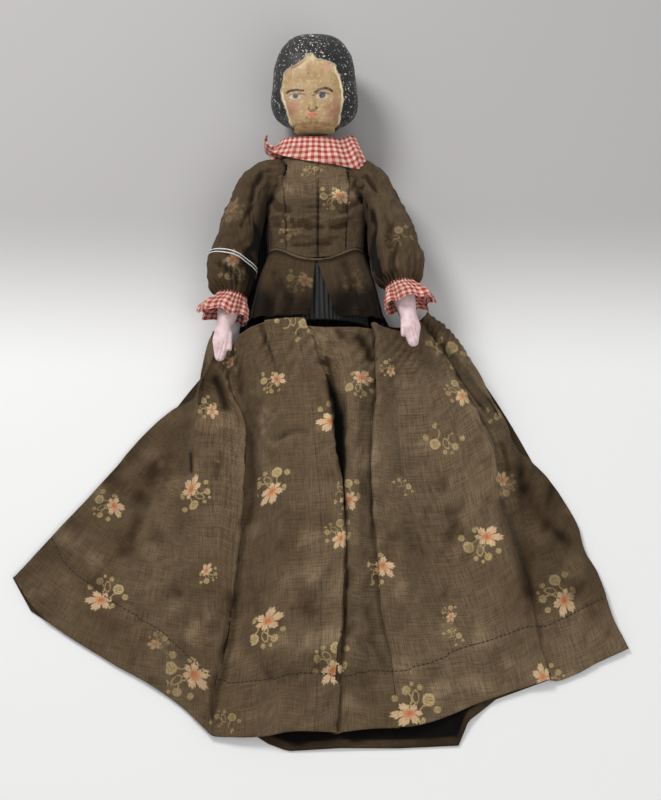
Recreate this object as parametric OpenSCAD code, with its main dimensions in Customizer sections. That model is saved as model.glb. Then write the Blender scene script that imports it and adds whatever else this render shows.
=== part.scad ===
// Peg wooden doll in a printed cotton dress, lying on its back with its head towards +Y.
// Lengths are millimetres. The back of the skirt and the back of the head rest on z = 0.
// x = 0 is the doll's middle. Its own right side is at -x and its left side at +x.

/* [Head] */
// Height of the head from chin to crown
head_h = 62; // [58:1:66]
// Width of the head over the painted hair
head_w = 46; // [44:1:50]
// Depth of the head from the back of the hair to the face
head_d = 44; // [42:1:48]
// How far the carved hair stands proud of the face
hair_t = 1.8; // [1:0.1:2.4]
// How far the nose stands out of the face
nose_h = 2.6; // [1.5:0.1:3.5]
// Radius of the neck
neck_r = 9.5; // [8.5:0.5:10]

/* [Torso] */
// From the chin down to the shoulder peg
shoulder_drop = 23; // [21:1:26]
// From the shoulder peg down to the waist
waist_drop = 41; // [38:1:44]
// From the shoulder peg down to the hip peg
hip_drop = 98; // [96:1:104]
// Width of the wooden chest between its flat shoulder faces
chest_w = 48; // [46:1:52]
// Depth of the wooden chest
chest_d = 27; // [25:1:28]
// Width of the wooden waist
waist_w = 44; // [42:1:46]
// Depth of the wooden waist
waist_d = 23; // [21:1:25]
// Width of the wooden hips
hip_w = 47; // [46:1:50]
// Depth of the wooden hips
hip_d = 24; // [22:1:25]
// Height of the torso's middle above the table
torso_z = 18.5; // [18:0.5:20]

/* [Arms] */
// Radius of the shoulder disc
shoulder_r = 7.5; // [7:0.1:8]
// Thickness of the shoulder disc
shoulder_t = 9; // [8:0.5:9.5]
// From the shoulder peg to the elbow peg
upper_arm_l = 48; // [46:1:52]
// From the elbow peg to the finger tips
forearm_l = 54; // [51:1:58]
// Radius of the arm at its ends
arm_r = 5.4; // [5:0.1:5.7]
// Width of the hand across the fingers
hand_w = 9.6; // [8.5:0.1:10.5]
// Angle at which the arms stand off the sides
arm_splay = 12; // [11:0.5:13]
// Angle by which the left arm lies raised on the skirt
arm_lift = 9; // [6:0.5:11]

/* [Legs] */
// Height of the hip pegs above the table
hip_z = 12; // [11.5:0.1:13]
// Distance of each leg from the middle
leg_x = 10.5; // [10:0.1:11.5]
// From the hip peg to the knee peg
thigh_l = 73; // [70:1:76]
// From the knee peg to the sole
shin_l = 77; // [74:1:80]
// Largest radius of the thigh
thigh_r = 8.2; // [7.6:0.1:8.5]
// Radius of the knee barrel
knee_r = 6.2; // [5.8:0.1:6.4]
// Largest radius of the calf
calf_r = 5.9; // [5.5:0.1:6.1]
// Radius of the ankle
ankle_r = 4; // [3.6:0.1:4.5]
// Length of the foot from heel to toe
foot_l = 13; // [12:0.5:14]

/* [Pegs] */
// Radius of the shoulder and hip pegs
peg_r = 2.4; // [2:0.1:2.8]
// Radius of the elbow and knee pegs
small_peg_r = 1.6; // [1.3:0.1:1.9]
// Running clearance round a peg
peg_clear = 0.05; // [0.02:0.01:0.09]
// Side clearance of a tongue in its slot
slot_clear = 0.3; // [0.2:0.05:0.4]
// Radius of the hip barrel round its peg
hip_r = 9; // [8.6:0.1:9.2]
// Thickness of the hip tongues
hip_tongue_t = 6.4; // [5.6:0.1:7]
// Thickness of the elbow and knee tongues
small_tongue_t = 4; // [3.6:0.1:4.4]

/* [Dress] */
// Thickness of the dress cloth
cloth_t = 0.9; // [0.7:0.1:1]
// Gap between a piece of cloth and what lies under it
cloth_gap = 0.35; // [0.3:0.05:0.4]
// Radius of the armholes
armhole_r = 10.8; // [10.4:0.2:12.4]
// How far the waist seam dips at the front
waist_dip = 9; // [6:0.5:10]
// Length of the peplum below the waist
peplum_l = 41; // [38:1:42]
// How far the peplum flares at the sides
peplum_flare = 6.5; // [5:0.5:7]
// Width of the peplum's open split at its hem
split_w = 11; // [8:1:13]
// Fullness of the sleeve, measured out from the arm
sleeve_r = 13.5; // [12.5:0.5:14]
// Radius of the gathered wrist of the sleeve
wrist_r = 7.8; // [7.6:0.1:8.2]
// Length of the cuff ruffle
cuff_l = 13.5; // [11:0.5:14]
// Radius of the cuff ruffle at its edge
cuff_r = 13; // [11:0.5:13.5]
// Width of the collar strip
collar_w = 15; // [13:0.5:17]
// Radius of the piping in the waist seam
piping_r = 0.8; // [0.6:0.1:0.9]

/* [Skirt] */
// Width of the skirt at its hem
hem_w = 296; // [280:2:312]
// Length of the skirt front below the hip yoke
skirt_l = 204.5; // [198:0.5:212]
// Height of the skirt over the legs
cover_z = 25; // [24.5:0.1:27]
// Height of the shallow folds in the back of the skirt
back_fold_h = 1.4; // [0.8:0.1:1.6]
// How far the back hem shows past the front hem
back_hem_show = 3.5; // [2:0.5:5]

/* [Tag] */
// Radius of the string looped round the right sleeve
string_r = 0.45; // [0.35:0.05:0.5]

/* [Hidden] */

wood_colour = "#d8b48c";
paint_colour = "#d9c4c2";
dress_colour = "#5f5241";
check_colour = "#c9868a";
yoke_colour = "#1c1a18";
shoe_colour = "#2b2a2a";
cut = 1;
round_fn = 64;
hull_fn = 20;

// Distances along Y. The box round the doll is centred on the origin.
crown_up = shoulder_drop + head_h;
yoke_edge_drop = hip_drop - 15;
hem_down = yoke_edge_drop + skirt_l + back_hem_show;
shoulder_y = (hem_down - crown_up) / 2;
chin_y = shoulder_y + shoulder_drop;
waist_y = shoulder_y - waist_drop;
hip_y = shoulder_y - hip_drop;
skirt_y = shoulder_y - yoke_edge_drop;
head_x = -1;
arm_x = chest_w / 2 + slot_clear + shoulder_t / 2;

// Small shared functions

function mix(a, b, t) = a + (b - a) * t;
function clamp(t) = min(1, max(0, t));
function smooth(t) = let (c = clamp(t)) c * c * (3 - 2 * c);
function bow(a, b, c, d, t) =
    let (r = 1 - t) r * r * r * a + 3 * r * r * t * b + 3 * r * t * t * c + t * t * t * d;
function unit(v) = v / norm(v);
function spow(v, e) = sign(v) * pow(abs(v), e);
function column(table, k, i) = [for (row = table) [row[k], row[i]]];
// A table read with its corners rounded over a distance d
function soft_read(y, table, d) =
    (lookup(y - d, table) + 2 * lookup(y, table) + lookup(y + d, table)) / 4;

// Triangles of a grid of points with its front towards the viewer when the rows run down
// and the columns run to the right
function grid_faces(rows, cols, first, wrap, turn) = [
    for (i = [0 : rows - 2], j = [0 : cols - (wrap ? 1 : 2)])
        let (a = first + i * cols + j, b = first + i * cols + (j + 1) % cols)
        let (c = a + cols, d = b + cols)
        for (f = turn ? [[a, c, b], [b, c, d]] : [[a, b, c], [b, d, c]]) f
];
function strip_faces(line, under, turn) = [
    for (k = [0 : len(line) - 2])
        let (a = line[k], b = line[k + 1], c = line[k] + under, d = line[k + 1] + under)
        for (f = turn ? [[a, b, c], [b, d, c]] : [[a, c, b], [b, c, d]]) f
];
// A closed solid between two grids of points: outer is seen from outside, inner lies under it.
// A grid whose columns run to the left is drawn with turn = true.
module skin(outer, inner, wrap = false, turn = false) {
    rows = len(outer);
    cols = len(outer[0]);
    n = rows * cols;
    points = [for (row = outer) each row, for (row = inner) each row];
    first_row = [for (j = [0 : wrap ? cols : cols - 1]) j % cols];
    last_row = [for (j = first_row) (rows - 1) * cols + j];
    first_col = [for (i = [0 : rows - 1]) i * cols];
    last_col = [for (i = [0 : rows - 1]) i * cols + cols - 1];
    polyhedron(points, concat(
        grid_faces(rows, cols, 0, wrap, turn),
        grid_faces(rows, cols, n, wrap, !turn),
        strip_faces(first_row, n, turn),
        strip_faces(last_row, n, !turn),
        wrap ? [] : strip_faces(first_col, n, !turn),
        wrap ? [] : strip_faces(last_col, n, turn)));
}
// A closed solid through a stack of rings, with a fan at each end
module loft(rings) {
    rows = len(rings);
    cols = len(rings[0]);
    n = rows * cols;
    mid = function (ring) [for (k = [0 : 2]) let (v = [for (p = ring) p[k]]) (max(v) + min(v)) / 2];
    points = [for (ring = rings) each ring, mid(rings[0]), mid(rings[rows - 1])];
    polyhedron(points, concat(
        grid_faces(rows, cols, 0, true, false),
        [for (j = [0 : cols - 1]) [(j + 1) % cols, j, n]],
        [for (j = [0 : cols - 1]) [n - cols + j, n - cols + (j + 1) % cols, n + 1]]));
}
// A grid pushed in by t, square to its own surface
function under_grid(g, t, wrap = false) =
    let (rows = len(g), cols = len(g[0]))
    [for (i = [0 : rows - 1]) [for (j = [0 : cols - 1])
        let (i0 = max(0, i - 1), i1 = min(rows - 1, i + 1))
        let (j0 = wrap ? (j + cols - 1) % cols : max(0, j - 1))
        let (j1 = wrap ? (j + 1) % cols : min(cols - 1, j + 1))
        g[i][j] - t * unit(cross(g[i][j1] - g[i][j0], g[i0][j] - g[i1][j]))]];

// The shape of the wooden torso and of the dress round it

station_round = 4;
// Each row: y, half width, half depth at the front, half depth at the back, height of the middle
stations = [
    [hip_y + hip_r, hip_w / 2, hip_d * 0.46, hip_d * 0.44, torso_z - hip_d * 0.1],
    [mix(hip_y, waist_y, 0.4), hip_w / 2, hip_d / 2, hip_d / 2, torso_z],
    [mix(hip_y, waist_y, 0.7), mix(hip_w, waist_w, 0.4) / 2, hip_d / 2, hip_d / 2, torso_z],
    [waist_y, waist_w / 2, waist_d / 2, waist_d / 2, torso_z],
    [mix(waist_y, shoulder_y, 0.4), mix(waist_w, chest_w, 0.6) / 2, chest_d * 0.49, waist_d / 2, torso_z],
    [mix(waist_y, shoulder_y, 0.7), chest_w / 2, chest_d / 2, chest_d * 0.48, torso_z],
    [shoulder_y, chest_w / 2, chest_d * 0.48, chest_d * 0.48, torso_z],
    [shoulder_y + shoulder_r, chest_w * 0.44, chest_d * 0.4, chest_d * 0.42, torso_z],
    [mix(shoulder_y, chin_y, 0.6), neck_r * 1.3, neck_r, neck_r, torso_z + 1],
    [chin_y, neck_r, neck_r, neck_r, torso_z + 1.5]
];
function station(y, i) = soft_read(y, column(stations, 0, i), station_round);
// A point on the torso at height y and angle q round it, 90 being the front, grown by off
square = 0.85;
function body_point(y, q, off, side_off = 0) =
    let (b = sin(q) > 0 ? station(y, 2) : station(y, 3))
    [(station(y, 1) + off + side_off) * spow(cos(q), square), y,
     station(y, 4) + (b + off) * spow(sin(q), square)];

// Rounded barrel across the body, along X
module barrel(r, w) {
    rotate([0, 90, 0])
        cylinder(r = r, h = w, center = true, $fn = round_fn);
}
module bore(r, w) {
    barrel(r + peg_clear, w + 2 * cut);
}

/* Head, neck, chest and hips are one piece of wood */

head_rings_n = 22;
head_cols_n = 44;
head_half = head_d / 2;
// Each row: height from the chin, half width, front and back, as shares of the head's sizes
head_shares = [
    [0.00, 0.47, 0.93, 0.60],
    [0.03, 0.52, 0.95, 0.46],
    [0.08, 0.60, 0.96, 0.28],
    [0.14, 0.72, 0.97, 0.15],
    [0.24, 0.93, 0.98, 0.05],
    [0.36, 1.00, 0.98, 0.01],
    [0.50, 0.985, 0.99, 0.00],
    [0.64, 0.95, 0.98, 0.00],
    [0.76, 0.88, 0.94, 0.03],
    [0.86, 0.75, 0.86, 0.10],
    [0.94, 0.55, 0.75, 0.20],
    [0.98, 0.34, 0.64, 0.31],
    [1.00, 0.12, 0.54, 0.41]
];
face_mid_share = 0.36;
face_up_share = 0.40;
face_side_share = 0.74;
face_edge_share = 0.16;
nose_mid_share = 0.17;
nose_up_share = 0.14;
nose_side_share = 0.16;
function head_read(t, i) = soft_read(t, column(head_shares, 0, i), 0.02);
// 1 inside the face, 0 under the hair
function face_mask(t, x) =
    1 - smooth((norm([(t - face_mid_share) / face_up_share, x / face_side_share]) - 1)
        / face_edge_share + 0.5);
function nose_mask(t, x) =
    smooth(1 - abs(x) / nose_side_share)
    * smooth((nose_mid_share + nose_up_share - t) / nose_up_share)
    * smooth((t - nose_mid_share + nose_up_share * 0.4) / (nose_up_share * 0.25));
function head_ring(t) =
    let (hw = head_w / 2 * head_read(t, 1), f = head_d * head_read(t, 2), b = head_d * head_read(t, 3))
    [for (j = [0 : head_cols_n - 1])
        let (q = 360 * j / head_cols_n, s = sin(q))
        let (x = hw * spow(cos(q), 0.8), z = (f + b) / 2 + (f - b) / 2 * spow(s, 0.8))
        let (xs = x / (head_w / 2), front = smooth(s * 2))
        let (inset = hair_t * face_mask(t, xs) * front, nose = nose_h * nose_mask(t, xs) * front)
        [head_x + x, chin_y + head_h * t, z - inset + nose]];
module head() {
    loft([for (i = [0 : head_rings_n]) head_ring((1 - cos(180 * i / head_rings_n)) / 2)]);
}
torso_rings_n = 22;
torso_cols_n = 28;
function torso_ring(y) = [for (j = [0 : torso_cols_n - 1]) body_point(y, 360 * j / torso_cols_n, 0)];
neck_seat = head_h * 0.12;
hip_block_w_share = 0.92;
hip_block_back_share = 0.6;
// The front of the hips is cut back to the barrel's height, so that a leg can be raised
module head_and_torso() {
    y0 = hip_y + thigh_r + slot_clear;
    y1 = chin_y + neck_seat;
    slot_w = hip_tongue_t + 2 * slot_clear;
    slot_top = hip_r - slot_clear;
    color(wood_colour)
        difference() {
            union() {
                head();
                loft([for (i = [0 : torso_rings_n]) torso_ring(mix(y0, y1, i / torso_rings_n))]);
                translate([0, hip_y, hip_z])
                    barrel(hip_r, hip_w);
                translate([-hip_w * hip_block_w_share / 2, hip_y, hip_z - hip_r * hip_block_back_share])
                    cube([hip_w * hip_block_w_share, y0 - hip_y + cut, hip_r * (1 + hip_block_back_share)]);
            }
            for (side = [-1, 1]) {
                translate([side * leg_x - slot_w / 2, hip_y - 2 * hip_r, -cut])
                    cube([slot_w, 2 * hip_r + slot_top, torso_z + hip_d]);
                translate([side > 0 ? chest_w / 2 : -chest_w, shoulder_y - 2 * shoulder_r, -cut])
                    cube([chest_w / 2, 4 * shoulder_r, torso_z + chest_d]);
            }
            translate([0, shoulder_y, torso_z])
                bore(peg_r, chest_w);
            translate([0, hip_y, hip_z])
                bore(peg_r, hip_w);
        }
}
module shoulder_peg() {
    color(wood_colour)
        translate([0, shoulder_y, torso_z])
            barrel(peg_r, chest_w + 2 * (slot_clear + shoulder_t));
}
module hip_peg() {
    color(wood_colour)
        translate([0, hip_y, hip_z])
            barrel(peg_r, hip_w);
}

/* Arms. An arm is drawn along -Y from its shoulder peg, then splayed and lifted */

function lift(side) = side > 0 ? arm_lift : 0;
module place_arm(side) {
    translate([side * arm_x, shoulder_y, torso_z])
        rotate([-lift(side), 0, 0])
            rotate([0, 0, side * arm_splay])
                children();
}
function arm_place(side, p) =
    let (c = cos(arm_splay), s = sin(arm_splay), cl = cos(lift(side)), sl = sin(lift(side)))
    let (x = c * p[0] - side * s * p[1], y = side * s * p[0] + c * p[1])
    [side * arm_x + x, shoulder_y + cl * y + sl * p[2], torso_z - sl * y + cl * p[2]];
// A limb turned along -Y: pairs of distance and radius
module turned(profile) {
    n = len(profile);
    rotate([90, 0, 0])
        rotate_extrude($fn = round_fn)
            polygon(concat([[0, profile[0][0]]], [for (p = profile) [p[1], p[0]]], [[0, profile[n - 1][0]]]));
}
module tongue(r, t, reach, depth) {
    barrel(r, t);
    translate([-t / 2, -reach, -depth / 2])
        cube([t, reach, depth]);
}
elbow_r = arm_r + 0.2;
elbow_reach = elbow_r + 0.7;
module upper_arm_shape(side) {
    slot_w = small_tongue_t + 2 * slot_clear;
    difference() {
        union() {
            rotate([0, 0, -side * arm_splay])
                barrel(shoulder_r, shoulder_t);
            turned([[0, arm_r * 0.85], [shoulder_r, arm_r * 0.88], [upper_arm_l * 0.35, arm_r * 0.95],
                [upper_arm_l * 0.6, arm_r * 1.04], [upper_arm_l * 0.8, arm_r], [upper_arm_l, arm_r * 0.96]]);
            translate([0, -upper_arm_l, 0])
                barrel(elbow_r, 2 * arm_r);
        }
        translate([-slot_w / 2, -upper_arm_l - 2 * elbow_r, -2 * elbow_r])
            cube([slot_w, 3 * elbow_r + slot_clear, 4 * elbow_r]);
        translate([0, -upper_arm_l, 0])
            bore(small_peg_r, 2 * arm_r);
        rotate([0, 0, -side * arm_splay])
            bore(peg_r, shoulder_t);
    }
}
module upper_arm(side) {
    color(wood_colour)
        place_arm(side)
            upper_arm_shape(side);
}
module elbow_peg(side) {
    color(wood_colour)
        place_arm(side)
            translate([0, -upper_arm_l, 0])
                barrel(small_peg_r, 2 * arm_r);
}
wrist_share = 0.64;
module hand(side) {
    palm_l = forearm_l * (1 - wrist_share);
    r = hand_w / 2;
    translate([0, -forearm_l * wrist_share, 0]) {
        hull() {
            sphere(r = r * 0.86, $fn = hull_fn);
            translate([-side * r * 0.1, -palm_l * 0.42, r * 0.1])
                scale([1, 1, 0.72])
                    sphere(r = r, $fn = hull_fn);
            translate([-side * r * 0.3, -palm_l + r * 0.55, r * 0.1])
                scale([1, 1, 0.8])
                    sphere(r = r * 0.55, $fn = hull_fn);
        }
        hull() {
            translate([-side * r * 0.7, -palm_l * 0.2, r * 0.25])
                sphere(r = r * 0.34, $fn = hull_fn);
            translate([-side * r * 1.12, -palm_l * 0.62, r * 0.3])
                sphere(r = r * 0.27, $fn = hull_fn);
        }
    }
}
module forearm(side) {
    color(paint_colour)
        place_arm(side)
            translate([0, -upper_arm_l, 0])
                difference() {
                    union() {
                        tongue(elbow_r - slot_clear, small_tongue_t, elbow_reach + cut, arm_r * 1.5);
                        turned([[elbow_reach, arm_r * 0.9], [forearm_l * 0.2, arm_r * 0.97],
                            [forearm_l * 0.45, arm_r * 1.08], [forearm_l * wrist_share, hand_w * 0.43]]);
                        hand(side);
                    }
                    bore(small_peg_r, small_tongue_t);
                }
}

/* Legs. A leg is drawn along -Y from its hip peg */

module place_leg(side) {
    translate([side * leg_x, hip_y, hip_z])
        children();
}
hip_reach = hip_r + 0.6;
knee_reach = knee_r + 0.7;
module thigh(side) {
    slot_w = small_tongue_t + 2 * slot_clear;
    color(wood_colour)
        place_leg(side)
            difference() {
                union() {
                    tongue(hip_r - 2 * slot_clear, hip_tongue_t, hip_reach + cut, thigh_r * 1.7);
                    turned([[hip_reach, thigh_r * 0.92], [thigh_l * 0.28, thigh_r], [thigh_l * 0.5, thigh_r * 0.93],
                        [thigh_l * 0.75, knee_r * 1.06], [thigh_l - knee_r, knee_r], [thigh_l, knee_r * 0.97]]);
                    translate([0, -thigh_l, 0])
                        barrel(knee_r, 2 * knee_r);
                }
                translate([-slot_w / 2, -thigh_l - 2 * knee_r, -2 * knee_r])
                    cube([slot_w, 3 * knee_r + slot_clear, 4 * knee_r]);
                translate([0, -thigh_l, 0])
                    bore(small_peg_r, 2 * knee_r);
                bore(peg_r, hip_tongue_t);
            }
}
module knee_peg(side) {
    color(wood_colour)
        place_leg(side)
            translate([0, -thigh_l, 0])
                barrel(small_peg_r, 2 * knee_r);
}
module shoe() {
    r = foot_l * 0.3;
    hull() {
        translate([0, r, -foot_l * 0.08])
            sphere(r = r, $fn = hull_fn);
        translate([0, r * 0.7, foot_l * 0.5])
            sphere(r = r * 0.62, $fn = hull_fn);
        translate([-r * 0.6, 0, -foot_l * 0.34])
            cube([r * 1.2, r, foot_l * 0.94]);
    }
}
module lower_leg(side) {
    color(shoe_colour)
        place_leg(side)
            translate([0, -thigh_l, 0])
                difference() {
                    union() {
                        tongue(knee_r - slot_clear, small_tongue_t, knee_reach + cut, knee_r * 1.5);
                        turned([[knee_reach, calf_r * 0.92], [shin_l * 0.3, calf_r], [shin_l * 0.55, calf_r * 0.82],
                            [shin_l * 0.8, ankle_r], [shin_l - ankle_r, ankle_r * 1.02]]);
                        translate([0, -shin_l, 0])
                            shoe();
                    }
                    bore(small_peg_r, small_tongue_t);
                }
}

/* Bodice, waist piping and peplum */

neckline_y = chin_y - shoulder_drop * 0.3;
// Height of the waist seam at angle q, lowest at the front
function seam_y(q) = waist_y - waist_dip * pow(max(0, sin(q)), 4);
bodice_off = cloth_gap + cloth_t;
module bodice_panel(q0, q1, cols, rows = 8) {
    seam_gap = piping_r + cloth_gap;
    outer = [for (i = [0 : rows - 1]) [for (j = [0 : cols - 1])
        let (q = mix(q0, q1, j / (cols - 1)))
        body_point(mix(neckline_y, seam_y(q) + seam_gap, i / (rows - 1)), q, bodice_off)]];
    inner = [for (row = outer) [for (j = [0 : cols - 1])
        body_point(row[j][1], mix(q0, q1, j / (cols - 1)), cloth_gap)]];
    color(dress_colour)
        difference() {
            skin(outer, inner, turn = true);
            for (side = [-1, 1])
                translate([side * (chest_w / 2 + armhole_r * 0.7), shoulder_y - armhole_r * 0.15, torso_z])
                    barrel(armhole_r, armhole_r * 2);
        }
}
seam_split = 0.35;
module bodice_front_right() {
    bodice_panel(90 + seam_split, 180 - seam_split, 9);
}
module bodice_front_left() {
    bodice_panel(seam_split, 90 - seam_split, 9);
}
module bodice_back() {
    bodice_panel(180 + seam_split, 360 - seam_split, 15);
}
piping_n = 28;
piping_sides = 5;
module waist_piping() {
    outer = [for (k = [0 : piping_sides - 1]) [for (j = [0 : piping_n - 1])
        let (q = 360 * j / piping_n, a = 360 * k / piping_sides)
        body_point(seam_y(q) + piping_r * cos(a), q, cloth_gap + piping_r + piping_r * sin(a))]];
    points = [for (row = outer) each row];
    rows = piping_sides;
    color(dress_colour)
        polyhedron(points, [
            for (i = [0 : rows - 1], j = [0 : piping_n - 1])
                let (a = i * piping_n + j, b = i * piping_n + (j + 1) % piping_n)
                let (c = ((i + 1) % rows) * piping_n + j, d = ((i + 1) % rows) * piping_n + (j + 1) % piping_n)
                for (f = [[a, c, b], [b, c, d]]) f]);
}
yoke_off = 2.3 * cloth_t + 2 * cloth_gap;
peplum_waves = 5;
// The peplum hangs clear of the yoke and flares out at the sides and the front
function peplum_point(v, q, off) =
    let (y0 = seam_y(q) - piping_r - cloth_gap)
    let (y = mix(y0, waist_y - peplum_l + (waist_dip - waist_dip * max(0, sin(q))) * 0.4, v))
    let (full = smooth(v * 2), wave = 0.5 + 0.5 * cos(q * 2 * peplum_waves))
    let (side_flare = peplum_flare * v * smooth(0.6 + sin(q)) + 0.25 * peplum_flare * v * wave)
    let (front_flare = sin(q) > 0 ? 0.35 * peplum_flare * v * sin(q) : 0)
    let (grow = mix(bodice_off + cloth_gap, yoke_off + cloth_gap, full) + off)
    let (p = body_point(y, q, grow, side_flare))
    [p[0], p[1], p[2] + front_flare];
module peplum_panel(q0, q1, top_q0, top_q1, cols, rows = 6) {
    grid = function (off)
        [for (i = [0 : rows - 1]) [for (j = [0 : cols - 1])
            let (v = i / (rows - 1), u = j / (cols - 1))
            peplum_point(v, mix(mix(top_q0, q0, v), mix(top_q1, q1, v), u), off)]];
    color(dress_colour)
        skin(grid(cloth_t), grid(0), turn = true);
}
split_q = asin(pow(split_w / (hip_w + 2 * peplum_flare), 1 / square));
split_shift = 5;
module peplum_front_right() {
    peplum_panel(90 - split_shift + split_q, 180 - seam_split, 90, 180 - seam_split, 9);
}
module peplum_front_left() {
    peplum_panel(seam_split, 90 - split_shift - split_q, seam_split, 88, 9);
}
module peplum_back() {
    peplum_panel(180 + seam_split, 360 - seam_split, 180 + seam_split, 360 - seam_split, 15);
}

/* Collar strip round the neck */

collar_cols = 23;
collar_rows = 4;
collar_from = -62;
collar_to = 242;
collar_lift = 0.5;
function collar_point(u, v, off) =
    let (q = mix(collar_from, collar_to, u), front = max(0, sin(q)))
    let (side = pow(abs(cos(q)), 3))
    let (w = collar_w * mix(1, 0.75, side))
    let (top = neckline_y + shoulder_drop * 0.12 + collar_w * 0.12 * front)
    let (y = mix(top, top - w, v))
    let (stand = mix(0, collar_w * 0.14, side) * v)
    body_point(y, q, bodice_off + cloth_gap + collar_lift + off, stand);
module collar() {
    grid = function (off)
        [for (i = [0 : collar_rows - 1]) [for (j = [0 : collar_cols - 1])
            collar_point(j / (collar_cols - 1), i / (collar_rows - 1), off)]];
    color(check_colour)
        skin(grid(cloth_t), grid(0), turn = true);
}

/* Sleeves and cuffs */

// Each row: distance down the arm and distance out from it on the body side, the same on the
// outer side, then the half depth. The first and third are shares of the sleeve's length.
sleeve_l = upper_arm_l + forearm_l * 0.35;
sleeve_shares = [
    [0.225, -0.465, -0.165, -0.03, 0.97],
    [0.290, -0.49, -0.130, 0.48, 1.00],
    [0.380, -0.51, -0.015, 0.90, 1.00],
    [0.470, -0.54, 0.165, 1.11, 0.98],
    [0.560, -0.59, 0.420, 1.21, 0.96],
    [0.665, -0.65, 0.655, 1.26, 0.95],
    [0.785, -0.67, 0.820, 1.16, 0.89],
    [0.880, -0.64, 0.925, 0.93, 0.78]
];
sleeve_cols = 16;
sleeve_rows = [
    for (r = sleeve_shares)
        [r[0] * sleeve_l, r[1] * sleeve_r, r[2] * sleeve_l, r[3] * sleeve_r, r[4] * sleeve_r],
    [sleeve_l * 0.955, -wrist_r * 1.03, sleeve_l * 0.985, wrist_r * 1.12, wrist_r * 1.05],
    [sleeve_l, -wrist_r, sleeve_l, wrist_r, wrist_r]
];
gather_n = 6;
gather_h = 0.5;
function sleeve_ring(side, r, off, rib) = [for (j = [0 : sleeve_cols - 1])
    let (q = 360 * j / sleeve_cols, wave = 1 + rib * cos(q * gather_n))
    let (w0 = (r[1] + r[3]) / 2, w1 = (r[3] - r[1]) / 2, s0 = (r[0] + r[2]) / 2, s1 = (r[2] - r[0]) / 2)
    let (c = cos(q) * wave * (1 + off / norm([w1, s1])))
    arm_place(side, [side * (w0 + w1 * c), -(s0 + s1 * c), (r[4] + off) * sin(q) * wave])];
module sleeve(side) {
    n = len(sleeve_rows);
    rib = [for (i = [0 : n - 1]) i < 2 || i > n - 3 ? 0 : gather_h / sleeve_r];
    outer = [for (i = [0 : n - 1]) sleeve_ring(side, sleeve_rows[i], 0, rib[i])];
    inner = [for (i = [0 : n - 1]) sleeve_ring(side, sleeve_rows[i], -cloth_t, rib[i])];
    color(dress_colour)
        skin(outer, inner, true, side > 0);
}
cuff_cols = 30;
cuff_waves = 6;
cuff_wave_h = 1.5;
cuff_shift = 3.5;
// The ruffle starts at the wrist and opens in waves towards the hand
function cuff_ring(side, v, off) = [for (j = [0 : cuff_cols - 1])
    let (q = 360 * j / cuff_cols, open = smooth(v * 1.15))
    let (r = mix(wrist_r, cuff_r, open) + off + cuff_wave_h * v * cos(q * cuff_waves))
    let (s = sleeve_l + cloth_gap + cuff_l * v * (1 + 0.08 * cos(q * cuff_waves + 90)))
    let (flat = mix(1, 0.8, open))
    arm_place(side, [side * (cuff_shift * open + r * cos(q)), -s, r * flat * sin(q)])];
module cuff(side) {
    rows = [0, 0.35, 0.7, 1];
    color(check_colour)
        skin([for (v = rows) cuff_ring(side, v, 0)], [for (v = rows) cuff_ring(side, v, -cloth_t)], true, side > 0);
}

/* Pleated hip yoke under the peplum */

yoke_cols = 56;
yoke_pleats = 28;
pleat_h = 0.7;
yoke_top_y = waist_y - waist_dip - 2 * piping_r - cloth_gap;
yoke_rows = 3;
yoke_ease = 0.4;
function yoke_point(v, q, off) =
    let (y = mix(yoke_top_y, skirt_y + cloth_gap, v))
    let (fold = pleat_h * v * (0.5 + 0.5 * cos(q * yoke_pleats)))
    body_point(y, q, cloth_gap + yoke_ease * smooth(2 * v) + off + fold, 0);
module hip_yoke() {
    grid = function (off)
        [for (i = [0 : yoke_rows - 1]) [for (j = [0 : yoke_cols - 1])
            yoke_point(i / (yoke_rows - 1), 360 * j / yoke_cols, off)]];
    color(yoke_colour)
        skin(grid(cloth_t), grid(0), true, true);
}

/* Skirt. Its lines run from the hips to the hem. Each row of a table is one of these lines */

// How far down from the hips to the hem the front's lines are given, as shares
front_stations = [0.08, 0.35, 0.65, 0.82, 1];
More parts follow.
